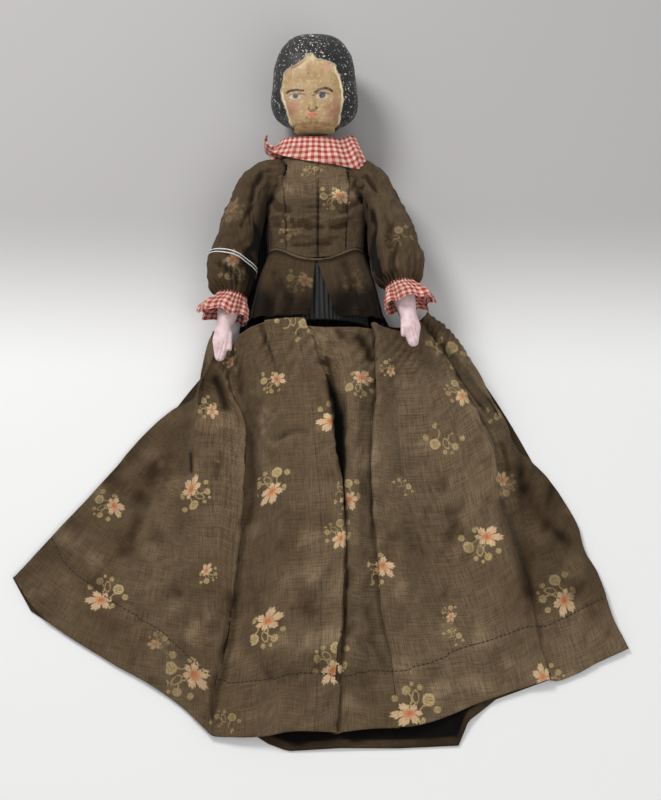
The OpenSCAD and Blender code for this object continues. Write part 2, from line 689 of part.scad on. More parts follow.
// Each row: place on the hips across, places across at the stations, hem place down, and heights
// at the stations. Heights are shares of the way from the side edges to the cover over the legs.
front_right_shares = [
    [-1.000, [-0.385, -0.54, -0.75, -0.88, -1.00], 0.61, [0.15, 0.00, 0.00, 0.00, 0.00]],
    [-0.985, [-0.380, -0.48, -0.70, -0.82, -0.92], 0.69, [0.22, 0.06, 0.09, 0.06, 0.03]],
    [-0.960, [-0.375, -0.46, -0.58, -0.63, -0.69], 0.80, [0.28, 0.03, 0.04, 0.05, 0.04]],
    [-0.930, [-0.370, -0.44, -0.48, -0.50, -0.53], 0.87, [0.32, 0.05, 0.10, 0.08, 0.00]],
    [-0.900, [-0.365, -0.43, -0.43, -0.43, -0.43], 0.93, [0.34, 0.08, 0.06, 0.05, 0.02]],
    [-0.860, [-0.350, -0.41, -0.37, -0.365, -0.36], 0.975, [0.40, 0.32, 0.18, 0.12, 0.06]],
    [-0.820, [-0.330, -0.34, -0.32, -0.33, -0.347], 0.985, [0.42, 0.45, 0.26, 0.16, 0.06]],
    [-0.760, [-0.300, -0.24, -0.27, -0.30, -0.335], 0.99, [0.44, 0.56, 0.33, 0.23, 0.06]],
    [-0.700, [-0.270, -0.215, -0.24, -0.27, -0.32], 0.995, [0.62, 0.31, 0.15, 0.06, 0.04]],
    [-0.580, [-0.230, -0.175, -0.18, -0.19, -0.21], 0.997, [0.84, 0.57, 0.43, 0.27, 0.05]],
    [-0.500, [-0.178, -0.140, -0.13, -0.135, -0.15], 0.997, [1.05, 0.86, 0.78, 0.62, 0.09]],
    [-0.420, [-0.142, -0.090, -0.08, -0.08, -0.09], 0.99, [1.16, 0.99, 0.92, 0.97, 0.16]],
    [-0.220, [-0.080, -0.040, -0.03, -0.03, -0.045], 0.99, [1.25, 1.02, 0.98, 1.01, 0.18]],
    [0.020, [-0.005, 0.070, 0.095, 0.09, 0.07], 0.99, [1.27, 1.12, 1.04, 1.10, 0.14]]
];
front_left_shares = [
    [0.060, [0.004, 0.052, 0.077, 0.07, 0.05], 0.99, [1.06, 0.89, 0.87, 0.97, 0.00]],
    [0.200, [0.060, 0.085, 0.098, 0.09, 0.08], 0.99, [1.14, 0.90, 0.88, 0.99, 0.03]],
    [0.300, [0.095, 0.105, 0.115, 0.11, 0.11], 0.988, [1.24, 1.03, 0.92, 0.97, 0.08]],
    [0.450, [0.135, 0.130, 0.140, 0.15, 0.17], 0.98, [1.27, 1.03, 0.83, 0.58, 0.09]],
    [0.580, [0.190, 0.185, 0.200, 0.23, 0.26], 0.98, [0.98, 0.71, 0.49, 0.26, 0.04]],
    [0.660, [0.218, 0.215, 0.230, 0.26, 0.295], 0.973, [1.30, 1.08, 0.79, 0.40, 0.07]],
    [0.740, [0.240, 0.240, 0.275, 0.32, 0.37], 0.963, [1.33, 1.11, 0.77, 0.46, 0.05]],
    [0.800, [0.265, 0.290, 0.370, 0.45, 0.525], 0.914, [1.30, 0.98, 0.58, 0.34, 0.06]],
    [0.860, [0.310, 0.390, 0.470, 0.53, 0.58], 0.90, [1.06, 0.72, 0.38, 0.21, 0.02]],
    [0.900, [0.360, 0.475, 0.550, 0.60, 0.65], 0.885, [0.91, 0.64, 0.32, 0.17, 0.00]],
    [0.950, [0.435, 0.595, 0.660, 0.70, 0.75], 0.86, [0.64, 0.55, 0.34, 0.23, 0.04]],
    [0.965, [0.465, 0.630, 0.700, 0.74, 0.79], 0.855, [0.35, 0.10, 0.01, 0.01, 0.00]],
    [0.985, [0.500, 0.665, 0.790, 0.86, 0.92], 0.82, [0.60, 0.23, 0.10, 0.06, 0.04]],
    [1.000, [0.530, 0.690, 0.880, 0.95, 1.01], 0.786, [0.46, 0.02, 0.00, 0.00, 0.00]]
];
// Each row: hem place across and down, place on the hips across, and height of the fold
back_shares = [
    [-1.000, 0.608, -1.00, 0.00],
    [-0.935, 0.690, -0.97, 0.00],
    [-0.783, 0.763, -0.90, 0.60],
    [-0.600, 0.838, -0.80, 0.00],
    [-0.453, 0.890, -0.66, 0.00],
    [-0.330, 0.945, -0.50, 1.00],
    [-0.152, 1.003, -0.30, 0.00],
    [-0.080, 1.012, -0.20, 0.00],
    [0.080, 1.000, 0.00, 0.30],
    [0.270, 1.000, 0.22, 0.00],
    [0.460, 1.000, 0.44, 0.00],
    [0.490, 0.960, 0.52, 1.00],
    [0.584, 0.905, 0.62, 0.00],
    [0.752, 0.860, 0.80, 0.00],
    [0.890, 0.826, 0.92, 0.60],
    [1.010, 0.786, 1.00, 0.00]
];
// The part of the back hem that lies past the front hem, between these shares across
back_show_shares = [[-0.2, 0], [-0.1, 0.7], [0.08, 1], [0.27, 1], [0.46, 0.7], [0.5, 0]];
front_rows = 18;
back_rows = 11;
back_cols = 26;
// Where along a line its rows lie: close together near the hips
function row_share(i, rows) = pow(i / (rows - 1), 1.25);
function line_read(table, u, i) =
    let (k = u * (len(table) - 1), a = min(floor(k), len(table) - 2), t = k - a)
    mix(table[a][i], table[a + 1][i], i == 3 ? smooth(t) : t);
// Places that draw the two side edges out over the hips, across and down
edge_left_shares = [[-0.419, -0.01], [-0.486, 0.30]];
edge_right_shares = [[0.419, -0.148], [0.620, 0.096]];
top_off = yoke_off + cloth_t + cloth_gap;
function skirt_place(h) = [h[0] * hem_w / 2, skirt_y - h[1] * skirt_l];
// Place of a skirt line seen from above, v running from the hips to the hem
function line_place(h, t, v) =
    let (hem = skirt_place(h), top = [t * (hip_w / 2 + top_off), skirt_y])
    let (edge = h[0] > 0 ? edge_right_shares : edge_left_shares, near = pow(abs(h[0]), 3.5))
    let (a = mix(mix(top, hem, 1 / 3), skirt_place(edge[0]), near))
    let (b = mix(mix(top, hem, 2 / 3), skirt_place(edge[1]), near))
    bow(top, a, b, hem, v);
edge_z = 2 * (cloth_t + cloth_gap) + 0.3;
line_round = 0.04;
// A point of the skirt front on one of its lines, v running from the hips to the hem
function front_point(line, v) =
    let (d = min(line_round, v, 1 - v), t = line[0])
    let (hip = [t * (hip_w / 2 + top_off), torso_z + (hip_d / 2 + top_off) * sqrt(max(0, 1 - t * t))])
    let (xs = [[0, hip[0]], for (k = [0 : len(line[1]) - 1]) [front_stations[k], line[1][k] * hem_w / 2]])
    let (zs = [for (k = [0 : len(line[3]) - 1]) [front_stations[k], mix(edge_z, cover_z, line[3][k])]])
    [soft_read(v, xs, d), skirt_y - v * line[2] * skirt_l,
     mix(hip[1], soft_read(v, zs, d), smooth(v / front_stations[0]))];
module skirt_front(table) {
    grid = [for (i = [0 : front_rows - 1])
        [for (line = table) front_point(line, row_share(i, front_rows))]];
    color(dress_colour)
        skin(grid, under_grid(grid, cloth_t));
}
module skirt_front_right() {
    skirt_front(front_right_shares);
}
module skirt_front_left() {
    skirt_front(front_left_shares);
}
back_rise_share = 0.08;
// Height of the underside of the skirt back, flat on the table between its folds
function back_z(t, v, fold) =
    let (hip = torso_z - cloth_t - cloth_gap - (hip_d / 2 + top_off - cloth_t) * sqrt(max(0, 1 - pow(t, 4))))
    mix(hip, back_fold_h * fold * smooth(v / 0.5), smooth(v / back_rise_share));
function back_grid(off) =
    [for (i = [0 : back_rows - 1]) [for (j = [0 : back_cols - 1])
        let (u = j / (back_cols - 1), v = row_share(i, back_rows), t = line_read(back_shares, u, 2))
        let (h = [line_read(back_shares, u, 0), line_read(back_shares, u, 1)])
        let (p = line_place(h, t, v), show = back_hem_show * lookup(h[0], back_show_shares))
        [p[0], p[1] - show * smooth((v - 0.7) / 0.3), back_z(t, v, line_read(back_shares, u, 3)) + off]]];
module skirt_back() {
    color(dress_colour)
        skin(back_grid(cloth_t), back_grid(0));
}

/* String of a tag, looped round the right sleeve */

string_n = 20;
string_sides = 5;
string_from_share = 0.63;
string_slant = 6;
string_out = sleeve_r;
module tag_string() {
    w0 = sleeve_r * 0.3;
    path = [for (j = [0 : string_n - 1])
        let (q = 360 * j / string_n)
        arm_place(-1, [-(w0 + (string_out + string_r) * cos(q)),
            -(sleeve_l * string_from_share - string_slant / 2 * cos(q)),
            (string_out + string_r + gather_h) * sin(q)])];
    ring = function (j)
        let (p = path[j], d = unit(path[(j + 1) % string_n] - path[(j + string_n - 1) % string_n]))
        let (mid = [for (k = [0 : 2]) (path[0][k] + path[string_n / 2][k]) / 2])
        let (a = unit(p - mid - ((p - mid) * d) * d), b = cross(d, a))
        [for (k = [0 : string_sides - 1])
            p + string_r * (a * cos(360 * k / string_sides) + b * sin(360 * k / string_sides))];
    rings = [for (j = [0 : string_n - 1]) ring(j)];
    color("white")
        polyhedron([for (r = rings) each r], [
            for (i = [0 : string_n - 1], j = [0 : string_sides - 1])
                let (a = i * string_sides + j, b = i * string_sides + (j + 1) % string_sides)
                let (k = ((i + 1) % string_n) * string_sides)
                let (c = k + j, d = k + (j + 1) % string_sides)
                for (f = [[a, c, b], [b, c, d]]) f]);
}

head_and_torso();
shoulder_peg();
hip_peg();
upper_arm(-1);  // upper_arm_right
upper_arm(1);  // upper_arm_left
elbow_peg(-1);  // elbow_peg_right
elbow_peg(1);  // elbow_peg_left
forearm(-1);  // forearm_right
forearm(1);  // forearm_left
thigh(-1);  // thigh_right
thigh(1);  // thigh_left
knee_peg(-1);  // knee_peg_right
knee_peg(1);  // knee_peg_left
lower_leg(-1);  // lower_leg_right
lower_leg(1);  // lower_leg_left
bodice_front_right();
bodice_front_left();
bodice_back();
waist_piping();
peplum_front_right();
peplum_front_left();
peplum_back();
collar();
sleeve(-1);  // sleeve_right
sleeve(1);  // sleeve_left
cuff(-1);  // cuff_right
cuff(1);  // cuff_left
hip_yoke();
skirt_front_right();
skirt_front_left();
skirt_back();
tag_string();
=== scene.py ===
import functools
import math

import bmesh
import bpy
import numpy as np
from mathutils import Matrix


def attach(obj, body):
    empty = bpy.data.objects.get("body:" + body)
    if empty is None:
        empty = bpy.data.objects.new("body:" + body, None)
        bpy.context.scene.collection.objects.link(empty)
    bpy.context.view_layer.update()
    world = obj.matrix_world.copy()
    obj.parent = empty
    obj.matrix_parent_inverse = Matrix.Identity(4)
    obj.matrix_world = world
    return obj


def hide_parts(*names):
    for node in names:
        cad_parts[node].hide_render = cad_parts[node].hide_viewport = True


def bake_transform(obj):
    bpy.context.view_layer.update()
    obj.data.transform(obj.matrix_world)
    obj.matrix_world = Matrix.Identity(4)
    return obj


# Lengths are millimetres until a mesh is made. The frame is the CAD row's: +Y runs to the head,
# +Z out of the chest, +X to the doll's left.
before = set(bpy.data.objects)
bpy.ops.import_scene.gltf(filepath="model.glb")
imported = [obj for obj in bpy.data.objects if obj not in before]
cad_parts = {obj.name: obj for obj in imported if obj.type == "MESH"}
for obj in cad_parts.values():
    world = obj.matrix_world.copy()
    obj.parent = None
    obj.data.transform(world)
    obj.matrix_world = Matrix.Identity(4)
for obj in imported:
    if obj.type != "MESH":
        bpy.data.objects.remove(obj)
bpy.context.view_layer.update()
MM = 0.001
FAR = 1e9

# Camera, set to the photograph's view

IMAGE_PX = (661, 800)
FOCAL_PX = 2200
SENSOR = 36
VIEW_UP = math.radians(68)
VIEW_DISTANCE = 1100
VIEW_TARGET = np.array([7.25, -14.4, 10.0])
eye_point = VIEW_TARGET + VIEW_DISTANCE * np.array([0, -math.cos(VIEW_UP), math.sin(VIEW_UP)])

scene = bpy.context.scene
camera_data = bpy.data.cameras.new("camera")
camera_data.sensor_fit = "VERTICAL"
camera_data.sensor_height = SENSOR
camera_data.lens = SENSOR * FOCAL_PX / IMAGE_PX[1]
camera_data.clip_start = 0.01
camera = bpy.data.objects.new("camera", camera_data)
camera.location = eye_point * MM
camera.rotation_euler = (math.pi / 2 - VIEW_UP, 0, 0)
scene.collection.objects.link(camera)
scene.camera = camera
scene.view_settings.view_transform = "Standard"


def from_photo(px, py, z):
    """The place in mm that a pixel of the photograph shows, at height z."""
    px, py, z = np.broadcast_arrays(*[np.asarray(v, float) for v in (px, py, z)])
    across, up = (px - IMAGE_PX[0] / 2) / FOCAL_PX, (IMAGE_PX[1] / 2 - py) / FOCAL_PX
    cos, sin = math.cos(VIEW_UP), math.sin(VIEW_UP)
    t = (z - eye_point[2]) / (up * cos - sin)
    return np.stack([eye_point[0] + t * across, eye_point[1] + t * (cos + up * sin), z], -1)


def to_photo(points):
    """Where points in mm are seen in the photograph, in pixels."""
    d = points - eye_point
    cos, sin = math.cos(VIEW_UP), math.sin(VIEW_UP)
    depth = d[..., 1] * cos - d[..., 2] * sin
    up = d[..., 1] * sin + d[..., 2] * cos
    return IMAGE_PX[0] / 2 + FOCAL_PX * d[..., 0] / depth, IMAGE_PX[1] / 2 - FOCAL_PX * up / depth


def from_photo_line(line):
    """The places in mm of a list of (pixel x, pixel y, height in mm)."""
    return from_photo(*np.array(line, float).T)


def to_line(px, py, line, closed=False):
    """Distance in pixels to a drawn line, and how far along the line the nearest place is."""
    line = np.asarray(line, float)
    ends = np.roll(line, -1, 0) if closed else line[1:]
    best, place = np.full(px.shape, FAR), np.zeros(px.shape)
    for k, ((x0, y0), (x1, y1)) in enumerate(zip(line, ends)):
        dx, dy = x1 - x0, y1 - y0
        t = np.clip(((px - x0) * dx + (py - y0) * dy) / (dx**2 + dy**2), 0, 1)
        d = np.hypot(px - x0 - t * dx, py - y0 - t * dy)
        nearer = d < best
        place = np.where(nearer, (k + t) / len(ends), place)
        best = np.minimum(best, d)
    return best, place


# Small shared functions


def mix(a, b, t):
    return a + (b - a) * t


def smooth(t):
    t = np.clip(t, 0, 1)
    return t * t * (3 - 2 * t)


def spow(v, e):
    return np.sign(v) * np.abs(v) ** e


def hump(away, width):
    """1 where away is 0, fading to nothing at about twice the width."""
    return np.exp(-((away / width) ** 2))


def cloud(x, y, size, seed):
    """Smooth noise from -1 to 1 whose blobs are about size across."""
    values = np.random.default_rng(seed).uniform(-1, 1, (64, 64))
    gx, gy = np.asarray(x) / size + 31.7, np.asarray(y) / size + 17.3
    i, j = np.floor(gx).astype(int), np.floor(gy).astype(int)
    fx, fy = smooth(gx - i), smooth(gy - j)

    def corner(a, b):
        return values[(i + a) % 64, (j + b) % 64]

    return mix(mix(corner(0, 0), corner(1, 0), fx), mix(corner(0, 1), corner(1, 1), fx), fy)


def layered(x, y, size, seed, layers=3):
    return sum(cloud(x, y, size / 2**k, seed + k) / 2**k for k in range(layers)) / 1.6


def ridges(x, y, size, seed, sharp=3.0):
    """Crumples from 0 to 1 whose ridges are sharp."""
    return np.maximum(1 - np.abs(layered(x, y, size, seed, 4)) * sharp, 0)


def glide(knots, values, at):
    """A smooth curve through values at knots that never swings past them."""
    knots, values = np.asarray(knots, float), np.asarray(values, float)
    flat = values.reshape(len(knots), -1)
    h = np.diff(knots)[:, None]
    d = np.diff(flat, axis=0) / h
    m = np.zeros_like(flat)
    m[0], m[-1] = d[0], d[-1]
    same = d[:-1] * d[1:] > 0
    safe = np.where(same, d[:-1] * d[1:], 1)
    total = np.where(same, d[:-1] + d[1:], 1)
    m[1:-1] = np.where(same, 2 * safe / total, 0)
    k = np.clip(np.searchsorted(knots, at, "right") - 1, 0, len(h) - 1)
    t = ((at - knots[k]) / h[k, 0])[:, None]
    out = (2 * t**3 - 3 * t**2 + 1) * flat[k] + (t**3 - 2 * t**2 + t) * h[k] * m[k]
    out = out + (3 * t**2 - 2 * t**3) * flat[k + 1] + (t**3 - t**2) * h[k] * m[k + 1]
    return out.reshape((len(np.atleast_1d(at)),) + values.shape[1:])


def steps_of(line):
    return np.linalg.norm(np.diff(line, axis=0), axis=-1)


def knots_of(gaps, least=0.0):
    """Places along a line whose points lie gaps apart, or least where a gap is smaller."""
    return np.concatenate([[0], np.cumsum(np.maximum(gaps, least))])


def along(line, count):
    """count points along a line of points, evenly spaced by its length."""
    line = np.asarray(line, float)
    knots = knots_of(steps_of(line))
    return glide(knots, line, np.linspace(0, 1, count) * knots[-1])


def normals_of(grid):
    across, down = np.gradient(grid, axis=1), np.gradient(grid, axis=0)
    n = np.cross(down, across)
    return n / np.maximum(np.linalg.norm(n, axis=-1, keepdims=True), 1e-9)


def lengths_along(grid, axis):
    step = np.linalg.norm(np.diff(grid, axis=axis), axis=-1)
    pad = np.zeros_like(np.take(step, [0], axis))
    return np.concatenate([pad, np.cumsum(step, axis)], axis)


def cloth_uv(grid):
    """Lengths in mm across the cloth and down it at each point of its grid."""
    return lengths_along(grid, 1), lengths_along(grid, 0)


def weave_layer(u, v):
    return np.stack([u + 0 * v, v + 0 * u, 0 * (u + v)], -1)


def photo_creases(grid, table):
    """Height in mm of drawn creases, each a line of pixels, a height and a width in pixels."""
    px, py = to_photo(grid)
    total = np.zeros(grid.shape[:2])
    for line, height, width in table:
        away, place = to_line(px, py, line)
        total += height * hump(away, width) * smooth(place * 5 + 0.15) * smooth((1 - place) * 5 + 0.15)
    return total


# Meshes

COTTON_DEPTH, GINGHAM_DEPTH, SILK_DEPTH = 0.45, 0.5, 0.25


def make(name, points, faces, material, layers=None):
    """A mesh object from points in mm. layers are named values per point, with 1, 3 or 4 columns."""
    mesh = bpy.data.meshes.new(name)
    mesh.from_pydata((np.asarray(points) * MM).tolist(), [], [list(map(int, f)) for f in faces])
    kinds = {1: ("FLOAT", "value"), 3: ("FLOAT_VECTOR", "vector"), 4: ("FLOAT_COLOR", "color")}
    for key, values in (layers or {}).items():
        values = np.asarray(values, np.float32)
        kind, field = kinds[values.shape[-1] if values.ndim > 1 else 1]
        mesh.attributes.new(key, kind, "POINT").data.foreach_set(field, values.ravel())
    mesh.shade_smooth()
    for m in material if isinstance(material, (list, tuple)) else [material]:
        mesh.materials.append(m)
    obj = bpy.data.objects.new(name, mesh)
    scene.collection.objects.link(obj)
    return obj


def grid_faces(rows, cols, turn=False):
    a = (np.arange(rows - 1)[:, None] * cols + np.arange(cols - 1)[None]).ravel()
    quad = np.stack([a, a + cols, a + cols + 1, a + 1], 1)
    return quad[:, ::-1] if turn else quad


def thick(obj, depth):
    """Cloth thickness, under the shown surface. The second material, if any, is on the inner side."""
    m = obj.modifiers.new("thickness", "SOLIDIFY")
    m.thickness = depth * MM
    m.offset = -1
    m.material_offset = m.material_offset_rim = len(obj.data.materials) - 1


def stands_for(node):
    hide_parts(node)


def cloth(name, grid, material, body, layers=None, keep=None, turn=False, depth=COTTON_DEPTH):
    """A cloth piece from a grid of points. body is one body, or (a, b, weights) across a joint.
    It works out a flat cut as wide as its widest row and as long as its columns, and an area, but uses
    neither."""
    faces = grid_faces(*grid.shape[:2], turn)
    across, down = cloth_uv(grid)
    used = {"weave": weave_layer(across, down), **(layers or {})}
    points = grid.reshape(-1, 3)
    flat = {k: np.asarray(v).reshape(len(points), -1) for k, v in used.items()}
    if keep is not None:
        kept = keep.reshape(-1)
        faces = faces[kept[faces].all(1)]
        index = np.unique(faces)
        renumber = np.zeros(len(points), int)
        renumber[index] = np.arange(len(index))
        faces, points = renumber[faces], points[index]
        flat = {k: v[index] for k, v in flat.items()}
    weights = None
    if not isinstance(body, str):
        body, weights = body[:2], np.asarray(body[2]).reshape(-1)
        weights = weights if keep is None else weights[index]
    flat = {k: v[:, 0] if v.shape[1] == 1 else v for k, v in flat.items()}
    obj = make(name + "_cloth", points, faces, material, flat)
    corners = points[faces]
    crossed = np.cross(corners[:, 2] - corners[:, 0], corners[:, 3] - corners[:, 1])
    area = float(np.linalg.norm(crossed, axis=1).sum()) / 2
    cut = tuple(round(float(length) * MM, 3) for length in (across[:, -1].max(), down[-1].max()))
    area = round(min(area * MM**2, cut[0] * cut[1]), 6)
    thick(obj, depth)
    if weights is None:
        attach(obj, body)
    else:
        bend(obj, *body, weights)
    return obj


def bend(obj, a, b, weights):
    """Bakes obj's transform into its mesh. a, b and weights are not used."""
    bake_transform(obj)


def tube(path, radius, sides=8, closed=False):
    """Points and faces of a tube along a path in mm. radius is a number or one for each point."""
    path = np.asarray(path, float)
    n = len(path)
    ahead = np.roll(path, -1, 0) - np.roll(path, 1, 0)
    if not closed:
        ahead[0], ahead[-1] = path[1] - path[0], path[-1] - path[-2]
    ahead /= np.linalg.norm(ahead, axis=1, keepdims=True)
    side = np.zeros_like(ahead)
    side[0] = np.cross(ahead[0], [0.3, 0.2, 1.0])
    for k in range(n):
        last = side[max(k - 1, 0)]
        side[k] = last - ahead[k] * (last @ ahead[k])
        side[k] /= np.linalg.norm(side[k])
    up = np.cross(side, ahead)
    q = np.linspace(0, 2 * math.pi, sides, endpoint=False)
    r = np.broadcast_to(radius, n)[:, None, None]
    turned = np.cos(q)[None, :, None] * side[:, None] + np.sin(q)[None, :, None] * up[:, None]
    ring = path[:, None] + r * turned
    last = n if closed else n - 1
    faces = []
    for i in range(last):
        for j in range(sides):
            k, m = (i + 1) % n * sides, (j + 1) % sides
            faces.append([i * sides + j, i * sides + m, k + m, k + j])
    if not closed:
        faces += [list(range(sides))[::-1], list(range((n - 1) * sides, n * sides))]
    return ring.reshape(-1, 3), faces


STITCH_L, STITCH_GAP, STITCH_R, STITCH_SIDES, STITCH_LIFT = 1.7, 0.6, 0.27, 5, 0.12
STITCH_AT, STITCH_TAPER = np.array([0, 0.2, 0.5, 0.8, 1.0]), np.array([0.3, 0.9, 1.0, 0.9, 0.3])


def stitches(name, path, normals, weights, bodies, material):
    """Thread lying on a surface as a row of short stitches."""
    knots = knots_of(steps_of(path))
    every = np.concatenate([path + normals * STITCH_LIFT, weights[:, None]], 1)
    points, faces, follow = [], [], []
    start = 0.5
    while start + STITCH_L < knots[-1]:
        run = np.stack([np.interp(start + STITCH_AT * STITCH_L, knots, column) for column in every.T], 1)
        ring, face = tube(run[:, :3], STITCH_R * STITCH_TAPER, STITCH_SIDES)
        faces += [[v + STITCH_SIDES * len(follow) for v in f] for f in face]
        points.append(ring)
        follow += list(run[:, 3])
        start += STITCH_L + STITCH_GAP
    obj = make(name, np.concatenate(points), faces, material)
    bend(obj, *bodies, np.repeat(follow, STITCH_SIDES))


# Materials


def linear(r, g, b):
    """A colour written as 0 to 255 on screen, as the shader's linear one."""
    return [((c / 255 + 0.055) / 1.055) ** 2.4 if c > 10 else c / 3294.6 for c in (r, g, b)] + [1.0]


class Net:
    """Writes the nodes of a material or world. A value is a socket of another node, or a constant."""

    def __init__(self, name, kind=bpy.data.materials):
        self.owner = kind.new(name)
        self.owner.use_nodes = True
        self.tree = self.owner.node_tree
        self.shader = next(n for n in self.tree.nodes if n.type in ("BSDF_PRINCIPLED", "BACKGROUND"))

    def put(self, socket, value):
        if isinstance(value, bpy.types.NodeSocket):
            self.tree.links.new(value, socket)
        elif value is not None:
            socket.default_value = value

    def node(self, kind, *values, out=0, **settings):
        n = self.tree.nodes.new("ShaderNode" + kind)
        for key, value in settings.items():
            if key in n.inputs:
                self.put(n.inputs[key], value)
            else:
                setattr(n, key, value)
        for socket, value in zip([s for s in n.inputs if s.enabled], values):
            self.put(socket, value)
        return n.outputs[out]

    def math(self, op, a, b=None, c=None):
        return self.node("Math", a, b, c, operation=op)

    def times(self, a, b):
        return self.math("MULTIPLY", a, b)

    def plus(self, a, b, share=None):
        """a + b, or a * share + b."""
        return self.math("ADD", a, b) if share is None else self.math("MULTIPLY_ADD", a, share, b)

    def sine(self, a, times):
        return self.math("SINE", self.times(a, times))

    def vector(self, op, a, b=None):
        n = self.tree.nodes.new("ShaderNodeVectorMath")
        n.operation = op
        self.put(n.inputs[0], a)
        self.put(n.inputs[1], b)
        return n.outputs["Value"] if op in ("LENGTH", "DISTANCE") else n.outputs[0]

    def scaled(self, a, by):
        out = self.vector("SCALE", a)
        out.node.inputs["Scale"].default_value = by
        return out

    def step(self, value, low, high, to_low=0.0, to_high=1.0):
        """value from low to high, read as to_low to to_high and held there outside."""
        return self.node("MapRange", value, low, high, to_low, to_high, interpolation_type="SMOOTHSTEP")

    def noise(self, where, scale, detail=3.0, rough=0.55, stretch=None):
        """Noise at a place, which stretch can multiply first."""
        where = where if stretch is None else self.vector("MULTIPLY", where, stretch)
        return self.node("TexNoise", Vector=where, Scale=scale, Detail=detail, Roughness=rough)

    def blend(self, share, a, b):
        n = self.tree.nodes.new("ShaderNodeMix")
        n.data_type = "RGBA"
        self.put(n.inputs[0], share)
        self.put(n.inputs[6], a)
        self.put(n.inputs[7], b)
        return n.outputs[2]

    def tint(self, base, rgb, value, low, high, to_low=0.0, to_high=1.0):
        """base blended towards a screen colour by what step makes of value."""
        return self.blend(self.step(value, low, high, to_low, to_high), base, linear(*rgb))

    def layer(self, name, out=1):
        """A value stored in the mesh, read by name."""
        return self.node("Attribute", attribute_name=name, out=out)

    def place(self):
        return self.node("TexCoord", out=3)

    def finish(self, colour, rough, height=None, depth=0.2, **fixed):
        self.put(self.shader.inputs["Base Color"], colour)
        self.put(self.shader.inputs["Roughness"], rough)
        if height is not None:
            bump = self.node("Bump", Strength=1.0, Distance=depth * MM, Height=height)
            self.put(self.shader.inputs["Normal"], bump)
        for key, value in fixed.items():
            self.shader.inputs[key.replace("_", " ")].default_value = value
        return self.owner


# Threads and the gingham's check repeat at these lengths in mm. The painted slipper starts at SLIPPER_Y
COTTON_PITCH, GINGHAM_PITCH, SILK_PITCH, CHECK = 0.42, 0.32, 0.22, 3.2
SLIPPER_Y = -134.0


def weave_of(net, pitch=COTTON_PITCH):
    """Height of a plain weave with uneven threads, from the cloth's own mm."""
    uv = net.layer("weave")
    drift = net.scaled(net.node("TexNoise", Vector=uv, Scale=0.35, out=1), 1.2)
    u = net.node("SeparateXYZ", net.vector("ADD", uv, drift), out=0)
    turn = 2 * math.pi / pitch
    over, under = net.sine(u, turn), net.sine(u.node.outputs[1], turn * 1.08)
    return net.plus(over, net.plus(under, 0.5, 0.25), 0.25)


def streaks_of(net):
    """Slubs: long uneven threads along and across the cloth."""
    uv = net.layer("weave")
    down = net.noise(uv, 1.0, 4.0, 0.65, (1.9, 0.09, 1))
    across = net.noise(uv, 1.0, 4.0, 0.65, (0.08, 2.1, 1))
    return net.plus(net.times(down, 0.5), net.times(across, 0.5))


# The printed sprig, in mm from its middle. Discs are x, y and radius. Rings are x, y, radius, line width and
# squeeze.
PETAL_HEART = (-2.2, -3.2, 0)
BUDS = ((6.2, 2.2, 2.8), (-3.4, 6.6, 1.9), (9.8, -2.0, 1.6), (-8.4, 3.6, 1.4), (2.6, 7.6, 1.2))
LEAVES = ((3.4, -6.4, 1.2), (2.3, -7.3, 0.9), (-0.8, 9.2, 0.8))
STEMS = ((0.6, 3.6, 2.6, 0.65, 1.9), (5.4, -3.4, 3.4, 0.5), (-4.6, 2.6, 3.2, 0.5, 0.9))


